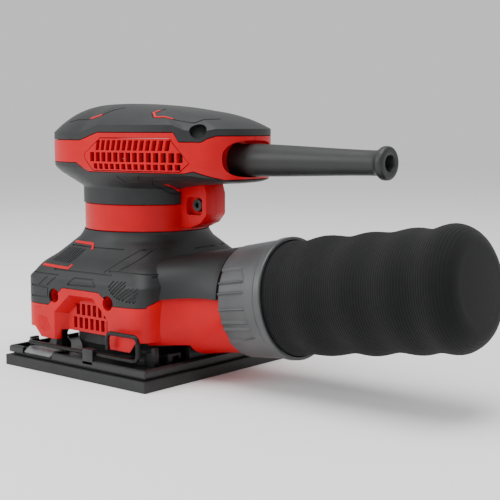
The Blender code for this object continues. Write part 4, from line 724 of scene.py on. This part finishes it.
X_WAY, Y_WAY, Z_WAY = np.array(((1.0, 0, 0), (0, 1.0, 0), (0, 0, 1.0)))
band_profile = [(33.1, 74.7), (33.4, 75.0), (33.4, 88.4), (33.1, 88.7), (30.4, 88.7), (30.4, 74.7)]
band = turned("band", band_profile, abs_red, sides=360, at=np.zeros(3), u=X_WAY, v=Y_WAY, w=Z_WAY)
outline = [(31, 76.6), (39, 76.4), (46.6, 79.4), (50.4, 83.6), (50.7, 84.6), (50.7, 95),
           (49, 100.2), (31, 100.2)]
neck_rings = []
for inset, y in ((0.5, -7.5), (0.15, -7.35), (0, -7.0), (0, 7.0), (0.15, 7.35), (0.5, 7.5)):
    middle = np.array((38.0, 88.0))
    pulled_in = middle + (np.array(outline) - middle) * (1 - inset / 11)
    neck_rings.append(np.column_stack([pulled_in[:, 0], np.full(len(outline), y), pulled_in[:, 1]]))
cut(band, skinned("block", neck_rings, abs_red), "UNION")
cut(band, prism(rounded_rectangle(5.4, 4.6, 1.9, 6) + (42.3, 88.2), -9, -4.2, "Y"))
cut(band, prism(rounded_rectangle(4.2, 3.6, 1.6, 6) + (42.0, 88.2), 5.4, 9, "Y"))
cut(band, round_bar(3.5, -9, -2.2, (43, 0, 88.6), (0, 1, 0), 40))
halved(band, "neck_band_left", "neck_band_right")


# -------------------- red head band
# The upper housing: a red belt round the head with a window for a vent panel on each side and a
# flared socket for the cord boot at the rear.


def seam_height(angles, seam, start):
    """The form's own height where its surface meets a seam given as a height over x."""
    height = np.full(len(angles), float(start))
    for _ in range(14):
        there = body(angles, height)
        height = height + seam(there[:, 0]) - there[:, 2]
    return height


head_angles = even_angles(118.0, 640)
belt_low = seam_height(head_angles, under_seam, 108) + GAP
belt_top = crown_seam(body(head_angles, 122.0)[:, 0]) - GAP
belt = slice_shell("belt", head_angles, belt_low, belt_top, 30, WALL, abs_red)
mix = np.array((0.06, 0.3, 0.6, 0.94))[:, None]
core_rows = belt_low[::2] + (belt_top - belt_low)[::2] * mix
core = skinned("core", body(head_angles[::2], core_rows, -1.2), abs_red)
cut(core, prism([(-80, -80), (60.5, -80), (60.5, 80), (-80, 80)], 60, 160, "Z"))
cut(belt, core, "UNION")
spread = full_turn(72)
lobe = (np.abs(np.cos(spread)) ** 2.6 + np.abs(np.sin(spread)) ** 2.6) ** (-1 / 2.6)
dish_steps = ((65.5, 10.5, 9.0), (67.0, 13.2, 9.1), (69.0, 16.2, 9.2),
              (71.5, 18.8, 9.2), (76.0, 21.4, 9.2), (87.5, 24.0, 9.2))
dish_rings = []
for x, half_y, half_z in dish_steps:
    y, z = half_y * lobe * np.cos(spread), 113.1 + half_z * lobe * np.sin(spread)
    dish_rings.append(np.column_stack([np.full(len(spread), x), y, z]))
cut(belt, skinned("dish", dish_rings, abs_red))
BOOT_AT = (0, 0, 112.5)  # the cord boot's axis runs through here, towards the rear
cut(belt, round_bar(8.5, 40, 90, BOOT_AT, (1, 0, 0), 64))
cut(belt, round_bar(10.9, 50, 60.3, BOOT_AT, (1, 0, 0), 64))

WINDOW = [(-3.5, 113), (2, 106.6), (55, 106.6), (59.5, 111), (50, 123.6), (8, 123.6), (-3.5, 115.5)]


def shrunk(points, by):
    """An outline pulled in towards its middle by a distance on every side."""
    points = np.array(points, float)
    middle = (points.min(0) + points.max(0)) / 2
    return middle + (points - middle) * (1 - by / ((points.max(0) - points.min(0)) / 2))


for side in (-1, 1):
    cut(belt, prism(WINDOW, side * 20, side * 60, "Y"))
WELL_AT, WELL_WAY = np.array((62.3, -26.0, 127.2)), np.array((0.5, -0.78, 0.38))
mirror = np.array((1, -1, 1))
for flip in (1, mirror):
    cut(belt, round_bar(6.1, -9, 9, WELL_AT * flip, WELL_WAY * flip, 64))
cut(belt, prism([(-5.7, 108.4), (5.7, 108.4), (5.7, 124.2), (-5.7, 124.2)], -70, -40, "X"))
halved(belt, "head_belt_left", "head_belt_right")


# -------------------- vent panels
# A moulded red panel lies in each window with three rows of cooling slots. The slots of the top
# row lean with the window's ends.

# Each row's low and high edge, its first and last slot, how many, and how far they lean.
VENT_ROWS = ((117.2, 122.3, 6.4, 49.0, 13, 0.5), (111.4, 116.1, 2.2, 55.0, 14, 0),
             (107.6, 110.4, 4.4, 54.0, 14, 0))
for side in (-1, 1):
    label = "left" if side < 0 else "right"
    near = np.linspace(200, 350, 420) if side < 0 else np.linspace(10, 160, 420)
    rows = np.linspace(100, 127, 60)[:, None]
    outer = body(np.radians(near), rows, 0.0)
    inner = body(np.radians(near[::-1]), rows, -2.4)
    sheet_rings = np.concatenate([outer, inner], 1)
    vent = skinned("vent", sheet_rings, abs_red)
    cut(vent, prism(shrunk(WINDOW, 0.35), side * 20, side * 60, "Y"), "INTERSECT")
    slots = []
    for low, high, first, last, count, lean in VENT_ROWS:
        for x in np.linspace(first, last, count):
            half = (last - first) / (count - 1) / 2 - 0.62
            slot = [(x - half - lean, low), (x + half - lean, low),
                    (x + half + lean, high), (x - half + lean, high)]
            slots.append(prism(slot, side * 18, side * 60, "Y"))
    tool = slots[0]
    with bpy.context.temp_override(active_object=tool, object=tool, selected_objects=slots,
                                   selected_editable_objects=slots):
        bpy.ops.object.join()
    cut(vent, tool)
    vent.name = "vent_slats_" + label
    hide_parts("vent_panel_" + label)
    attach(vent, "housing")


# -------------------- soft grips
# Thermoplastic rubber is moulded over the housing in three places: the crown, the neck and the
# shoulder. Grooves, rib patches and small red windows break up its surface.


def normal_at(surface, angle, height):
    """Unit outward normal of a form from two small steps along it."""
    da, dh = 1e-3, 1e-3 * (1 if surface is dome else 30)
    first = surface(angle + da, height) - surface(angle - da, height)
    second = surface(angle, height + dh) - surface(angle, height - dh)
    out = np.cross(first, second)
    out /= np.linalg.norm(out, axis=-1, keepdims=True)
    centre = np.array((0, 0, 100.0 if surface is dome else 60.0))
    return out * np.sign(((surface(angle, height) - centre) * out).sum(-1, keepdims=True))


def inlay(name, surface, marks, half_width, rise):
    """A flat red strip let into a grip: a lens-shaped bar along a path on the form."""
    marks = np.asarray(marks, float)
    steps = np.linspace(0, len(marks) - 1, 14 * (len(marks) - 1) + 1)
    angle = np.radians(np.interp(steps, range(len(marks)), marks[:, 0]))
    height = np.interp(steps, range(len(marks)), marks[:, 1])
    centre, out = surface(angle, height), normal_at(surface, angle, height)
    along = np.gradient(centre, axis=0)
    along /= np.linalg.norm(along, axis=1)[:, None]
    across = np.cross(along, out)
    turn_round = full_turn(16)
    power = 0.35
    wide = np.sign(np.cos(turn_round)) * np.abs(np.cos(turn_round)) ** power * half_width
    tall = np.sign(np.sin(turn_round)) * np.abs(np.sin(turn_round)) ** power * rise
    rings = centre[:, None] + across[:, None] * wide[None, :, None] + out[:, None] * tall[None, :, None]
    made = skinned(name, rings, abs_red)
    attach(made, "housing")


def scored(target, surface, lines, radius=0.4):
    """Cuts several surface lines, each one given as (angle, height) marks."""
    for marks in lines:
        groove(target, traced(surface, marks), radius)


# Shoulder cover, from the skirt up to the neck band and back over the dust port.
shoulder_angles = even_angles(50.0, 620)
foot_ring = body(shoulder_angles, 48.0)
seam = shoulder_seam(foot_ring[:, 0], foot_ring[:, 1]) + GAP
shoulder = slice_shell("shoulder", shoulder_angles, seam, np.full(len(seam), 74.45), 90, GRIP, tpe)
sleeve = port_form(28.0, -33, 7.6, tpe)
seam_cut = [(-70, -20), (-70, 39.8), (-47, 39.95), (-36, 43.15), (-28, 44.65), (-10, 45.75), (0, 47.15),
            (10, 45.75), (28, 44.65), (36, 43.15), (47, 39.95), (70, 39.8), (70, -20)]
cut(sleeve, prism(seam_cut, 30, 110, "X"))
inner_rows = np.linspace(20, 74.4, 30)[:, None]
inner_form = skinned("inner_form", body(shoulder_angles[::4], inner_rows, -1.4), tpe)
cut(sleeve, inner_form)
cut(shoulder, sleeve, "UNION")
cut(shoulder, port_form(26.3, -36, 20, tpe))
for side in (-1, 1):
    for x in WELLS:
        cut(shoulder, round_bar(4.1, side * 30, side * 70, (x, 0, WELL_Z), (0, 1, 0), 48))
shoulder_lines = [
    [(0.8, 64.5), (0.8, 65.2), (331.8, 66.2), (311.5, 66.5), (299.0, 61.2), (288.2, 55.2)],
    [(319.0, 66.0), (297.8, 56.0)],
    [(291.8, 55.8), (297.8, 56.0), (309.0, 56.0), (319.8, 55.2), (342.2, 54.2), (0.8, 53.2)],
    [(230.0, 51.2), (250.0, 51.2)], [(242.5, 50.0), (236.5, 45.2)], [(248.5, 50.0), (242.2, 45.5)],
    [(230.5, 44.5), (242.5, 44.0), (242.2, 39.0)], [(230.3, 38.5), (242.2, 39.0)],
    [(264.2, 50.8), (281.2, 51.0)], [(264.2, 50.8), (258.8, 47.0), (283.5, 47.8), (281.5, 50.0)],
]
shoulder_ribs = [
    [(238.0, 65.0), (236.7, 57.8)], [(241.2, 65.0), (239.0, 57.8)], [(244.3, 65.0), (241.0, 57.8)],
    [(247.0, 65.0), (243.0, 57.8)], [(249.8, 65.0), (245.2, 57.5)], [(252.2, 65.0), (247.5, 57.5)],
    [(255.0, 64.8), (249.5, 57.5)], [(257.5, 64.8), (251.5, 57.5)], [(297.0, 51.8), (294.0, 48.5)],
    [(300.0, 52.0), (294.2, 46.8)], [(302.5, 52.0), (295.2, 45.5)], [(304.5, 52.0), (296.2, 44.8)],
    [(304.8, 50.5), (297.5, 43.8)], [(306.8, 49.2), (299.0, 43.2)], [(308.8, 49.2), (300.5, 42.8)],
    [(310.8, 49.0), (302.5, 42.5)], [(311.0, 47.2), (304.8, 42.0)], [(310.2, 45.2), (306.5, 42.0)],
    [(309.8, 43.2), (308.5, 42.0)],
]
scored(shoulder, body, shoulder_lines, 0.42)
scored(shoulder, body, shoulder_ribs, 0.5)
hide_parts("shoulder_cover")
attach(shoulder, "housing")
inlay("shoulder_inlay_high", body, [(237.5, 67.8), (263.5, 67.8), (265.5, 64.8)], 0.75, 0.25)
inlay("shoulder_inlay_low", body, [(232.8, 55.5), (254.7, 55.0), (256.2, 57.0)], 0.75, 0.25)

# Neck grip, under the head.
neck_angles = even_angles(104.0, 620)
neck_top = seam_height(neck_angles, under_seam, 108) - GAP
neck = slice_shell("neck", neck_angles, np.full(len(neck_top), 88.95), neck_top, 70, GRIP, tpe)
cut(neck, prism([(25, -7.8), (51.2, -7.8), (51.2, 7.8), (25, 7.8)], 70, 100.9, "Z"))
scored(neck, body, [
    [(303.5, 104.5), (304.5, 100.8), (313.8, 101.2), (318.8, 105.2)],
    [(324.2, 103.2), (339.0, 105.2), (345, 107.4), (352, 108.6)],
    [(324.2, 103.2), (322.0, 99.8), (337.0, 94.8), (346.5, 94.6)]], 0.5)
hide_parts("neck_grip")
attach(neck, "housing")
inlay("neck_inlay", body, [(329.8, 100.8), (333.5, 100.0), (341.0, 97.6), (346.0, 96.2)], 0.7, 0.25)

# Palm grip, over the crown: an upright strip above the seam, then the dome.
grip_angles = even_angles(120.0, 560)
edge_x = body(grip_angles, 122.0)[:, 0]
seam = crown_seam(edge_x) + GAP
crease = crease_height(body(grip_angles, 125.0)[:, 0])
strip = np.concatenate([[0.0, 0.02, 0.06], np.linspace(0.12, 1, 9)])[:, None]
strip_in = np.interp(strip, (0, 0.02, 0.06, 1), (-0.35, -0.12, 0, 0))
strip_rings = body(grip_angles, 125.0, strip_in)
strip_rings[..., 2] = seam + (crease - seam) * strip
shares = np.concatenate([[0.995, 0.985], np.linspace(0.97, 0.03, 74)])[:, None]
under_shares = np.linspace(0.03, 0.95, 14)[:, None]
under = dome(grip_angles, under_shares, -2.0)
under_edge = body(grip_angles, 125.0, -2.0)
under_edge[..., 2] = seam


def palm_solid():
    """The crown as one solid with a little more below it, to trim the screw cups to its surface."""
    strip_base = body(grip_angles[::4], 125.0, 0.0)
    low = strip_base.copy()
    low[..., 2] = 112.0
    high = strip_base.copy()
    high[..., 2] = crease[::4]
    crown = dome(grip_angles[::4], shares[::3])
    return skinned("palm_solid", np.concatenate([low[None], high[None], crown]), tpe)


palm_rings = np.concatenate([under, under_edge[None], strip_rings, dome(grip_angles, shares)])
palm = skinned("palm", palm_rings, tpe, crease=28)
for flip in (1, mirror):
    cup_wall = round_bar(5.8, -7, 9, WELL_AT * flip, WELL_WAY * flip, 64)
    cut(cup_wall, palm_solid(), "INTERSECT")
    cut(palm, cup_wall, "UNION")
    cut(palm, round_bar(4.3, -5.5, 12, WELL_AT * flip, WELL_WAY * flip, 64))
scored(palm, dome, [
    [(252, 0.86), (262.5, 0.83), (278.8, 0.835), (293.0, 0.84), (303.0, 0.70), (312, 0.62)],
    [(339.5, 0.573), (328.2, 0.777), (327.5, 0.877), (335.2, 0.87), (341.8, 0.90), (345.5, 0.873),
     (352.0, 0.863)],
    [(96, 0.83), (81.2, 0.835), (67, 0.84), (57.0, 0.70), (48, 0.62)],
    [(20.5, 0.573), (31.8, 0.777), (32.5, 0.877), (24.8, 0.87), (18.2, 0.90), (14.5, 0.873),
     (8, 0.863)]], 0.5)
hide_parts("palm_grip")
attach(palm, "housing")
for label, sign in (("left", 1), ("right", -1)):
    marks = [(280.8, 0.837), (287, 0.838), (293.4, 0.833)]
    inlay("crown_inlay_front_" + label, dome, [(sign * a, r) for a, r in marks], 0.75, 0.3)
    marks = [(333.4, 0.69), (328.9, 0.775), (328.2, 0.87), (335.2, 0.862)]
    inlay("crown_inlay_rear_" + label, dome, [(sign * a, r) for a, r in marks], 0.65, 0.3)


# -------------------- cord boot
# A moulded rubber sleeve that keeps the cord from kinking; the cord itself is left off.

# Moulded rubber: dark grey and satin, with the fine lines of a turned mould.
rubber = moulded("moulded rubber", {"Roughness": 0.48},
                 ("202222", "1A1C1C"), 120, (0.42, 0.56), 2200, 2.0, 0.00004)

taper = np.linspace(0, 1, 24)
boot_profile = [(3.65, 57.2), (10.2, 57.2), (10.5, 57.5), (10.5, 59.7), (10.2, 60.0), (8.2, 60.0),
                (8.2, 80.5)]
boot_profile += [(8.15 - 2.25 * (3 * t * t - 2 * t**3) * 0.35 - 2.25 * t * 0.65, 81 + 66 * t) for t in taper]
boot_profile += [(5.95, 149.5), (6.15, 151.0), (6.7, 152.2), (7.4, 152.9), (7.8, 153.5), (7.9, 154.2),
                 (7.9, 155.4), (7.7, 156.2), (7.2, 156.7), (6.6, 156.9), (4.6, 156.9), (4.0, 156.6),
                 (3.65, 155.8)]
boot = turned("cord_sleeve", boot_profile, rubber, sides=120, at=np.array(BOOT_AT), v=Z_WAY, w=X_WAY)
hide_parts("cord_boot")
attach(boot, "housing")


# -------------------- dust bag
# A cylinder of ribbed cloth over a wire-stiff liner, tucked into a grey collar that pushes on to
# the dust port. The collar has a finger panel with ribs on both sides.

# Moulded polypropylene: mid grey and waxy, with a very slight drift of tone.
poly = moulded("moulded polypropylene", {"Roughness": 0.4},
               ("4C4E4F", "444647"), 70, (0.34, 0.48), 2000, 2.0, 0.00004)

# Woven cloth: black yarn in a tight weave, matt with a little fuzz at grazing angles.
cloth, tree, shader = new_material("ribbed woven cloth", {
    "Roughness": 0.85, "Sheen_Weight": 0.06, "Sheen_Roughness": 0.5, "Specular_IOR_Level": 0.25})
place, noise = mottled(tree, shader, "0D0E0E", "090A0A", 260)
yarn = add(tree, "ShaderNodeTexNoise", Vector=place, Scale=3000, Detail=2.0)
raised(tree, shader, yarn.outputs["Fac"], 0.0001)

# The collar's profile: distance along the port's axis and radius.
collar_rim = [32.8, 33.1, 33.5, 34, 35, 36, 36.5, 36.85, 37]
collar_s = np.concatenate([[8.5, 8.65, 9.0], np.linspace(9.3, 32.4, 120), collar_rim])
collar_r = np.interp(collar_s, (8.5, 8.65, 9.0, 32.4, 33.1, 33.5, 36.5, 37),
                     (28.1, 28.35, 28.5, 29.75, 30.1, 30.4, 30.4, 30.0))
round_angle = full_turn(600)
lift = np.degrees(np.arcsin(np.sin(round_angle)))


def soft_step(value, width):
    """Goes from 0 to 1 as a value passes through a width round zero."""
    return np.clip(value / width + 0.5, 0, 1)


s_grid, lift_grid = collar_s[:, None], lift[None, :]
far_edge = np.interp(lift_grid, (-37, -33, 25, 38), (19, 27.5, 26.0, 22.5))
inside_panel = (soft_step(far_edge - s_grid, 0.7) * soft_step(lift_grid + 37, 1.4)
                * soft_step(38 - lift_grid, 1.4))
rib = np.zeros_like(lift)
for at in (24.5, 13.5, -2.5, -16.5, -23.5):
    rib = np.maximum(rib, soft_step(1.1 - np.abs(lift - at), 1.2))
radius = collar_r[:, None] - 0.95 * inside_panel * (1 - rib[None, :])
circle = np.cos(round_angle)[:, None] * np.array((0, 1.0, 0)) + np.sin(round_angle)[:, None] * UP
outer = PORT_AT + radius[..., None] * circle + collar_s[:, None, None] * AXIS
bore_profile = ((29.0, 37), (28.75, 36.8), (28.75, 25.2), (26.35, 25.0), (26.35, 8.9), (26.7, 8.5))
inner = np.array([PORT_AT + r * circle + s * AXIS for r, s in bore_profile])
collar = skinned("collar_shell", np.concatenate([outer, inner]), poly, closed=True)
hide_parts("bag_collar")
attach(collar, "bag")

bag_angle = full_turn(190)
STRAIGHT, ROUND = 126.5, 11  # where the bag's straight part ends, and its end corner's radius
BAG_R = 28.2
bag_s = np.concatenate([np.linspace(25.6, STRAIGHT, 400),
                        STRAIGHT + ROUND * np.sin(np.linspace(0.04, math.pi / 2, 60))])
flank = np.clip((bag_s - STRAIGHT) / ROUND, 0, 1)
corner = np.maximum((1 - flank**2.4), 0) ** (1 / 2.4)
wave = np.interp(bag_s, (33, 58, 82.9, 106.9, 127, 145), (-1, 0, 1, 2, 3, 3.8))
swell = 0.62 * np.cos(2 * math.pi * wave) * soft_step(bag_s - 41, 10) * soft_step(135 - bag_s, 12)
rib_wave = 0.11 * np.cos(2 * math.pi * bag_s / 1.35) * soft_step(corner - 0.5, 0.3)
along = bag_s[:, None]
sag = 0.35 * np.sin(3 * bag_angle[None, :] + along / 9) * np.sin(along / 17 + 1) * soft_step(along - 45, 20)
base = np.where(bag_s < STRAIGHT, BAG_R, 17.2 + ROUND * corner)
bag_radius = (base + swell + rib_wave)[:, None] + sag * np.minimum(corner, 1)[:, None]
cap = np.linspace(0.94, 0.03, 22)[:, None]
circle = np.cos(bag_angle)[:, None] * np.array((0, 1.0, 0)) + np.sin(bag_angle)[:, None] * UP
walls = PORT_AT + bag_radius[..., None] * circle + bag_s[:, None, None] * AXIS
end_ring = walls[-1]
middle = PORT_AT + 137.5 * AXIS
end = middle + (end_ring - middle) * cap[..., None] + AXIS * (0.5 * (1 - cap**2))[..., None]
lining_profile = ((0.8, 136.2), (13.0, 136.0), (19.5, 134.0), (25.0, 128.0), (26.6, 122.0),
                  (27.0, 26.0), (27.3, 25.6))
lining = np.array([PORT_AT + r * circle + s * AXIS for r, s in lining_profile])
bag = skinned("bag_cloth", np.concatenate([lining, walls, end]), cloth, crease=60)
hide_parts("dust_bag")
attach(bag, "bag")


# -------------------- switch
# A rocker in a soft dust seal at the front of the head.

softened("switch_rocker", "rocker_cap", nylon, 0.3, "rocker")
softened("switch_seal", "rocker_seal", rubber, 0.3, "housing")


# -------------------- inner parts
# Motor, bearings, fan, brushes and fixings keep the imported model's meshes and get the finish of
# what they are made of.


def metal_finish(name, light, dark, rough_low, rough_high, grain, relief):
    """Bare metal: a drift of tone and polish, with fine tool marks."""
    return moulded(name, {"Metallic": 1.0}, (light, dark), 220, (rough_low, rough_high), grain, 2.0, relief)


carbon_block, tree, shader = new_material("pressed carbon", {"Roughness": 0.7})
place, noise = mottled(tree, shader, "303234", "242628", 700)
raised(tree, shader, noise.outputs["Fac"], 0.00005)
film_case, tree, shader = new_material("capacitor case", {"Roughness": 0.4})
place, noise = mottled(tree, shader, "C9A23A", "BD9732", 200)
raised(tree, shader, noise.outputs["Fac"], 0.00003)
screw_finish = metal_finish("dark zinc screw", "4A4C4E", "3C3E40", 0.35, 0.5, 3000, 0.00002)
finishes = {
    "bright_steel": metal_finish("ground steel", "B4B7B9", "A3A6A8", 0.2, 0.36, 3000, 0.00002),
    "lamination_steel": metal_finish("stamped lamination steel", "7E8184", "6C6F72", 0.35, 0.5,
                                     2500, 0.00004),
    "copper_winding": metal_finish("enamelled copper", "B5652F", "9C5224", 0.25, 0.4, 2800, 0.0001),
    "brass": metal_finish("brass strip", "C2A150", "AF9044", 0.25, 0.4, 2500, 0.00003),
    "cast_aluminium": metal_finish("cast aluminium", "A5A8AA", "94979A", 0.4, 0.55, 1500, 0.00008),
    "carbon": carbon_block, "capacitor_case": film_case, "black_rubber": rubber, "black_nylon": nylon,
    "grey_polypropylene": poly, "red_abs": abs_red, "black_tpe": tpe, "pad_elastomer": elastomer,
    "spring_strip": strip_steel, "blackened_wire": oxide, "bag_cloth": cloth,
}
for name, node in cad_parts.items():
    slot_name = node.data.materials[0].name
    if slot_name in finishes:
        node.data.materials[0] = screw_finish if "screw" in name else finishes[slot_name]
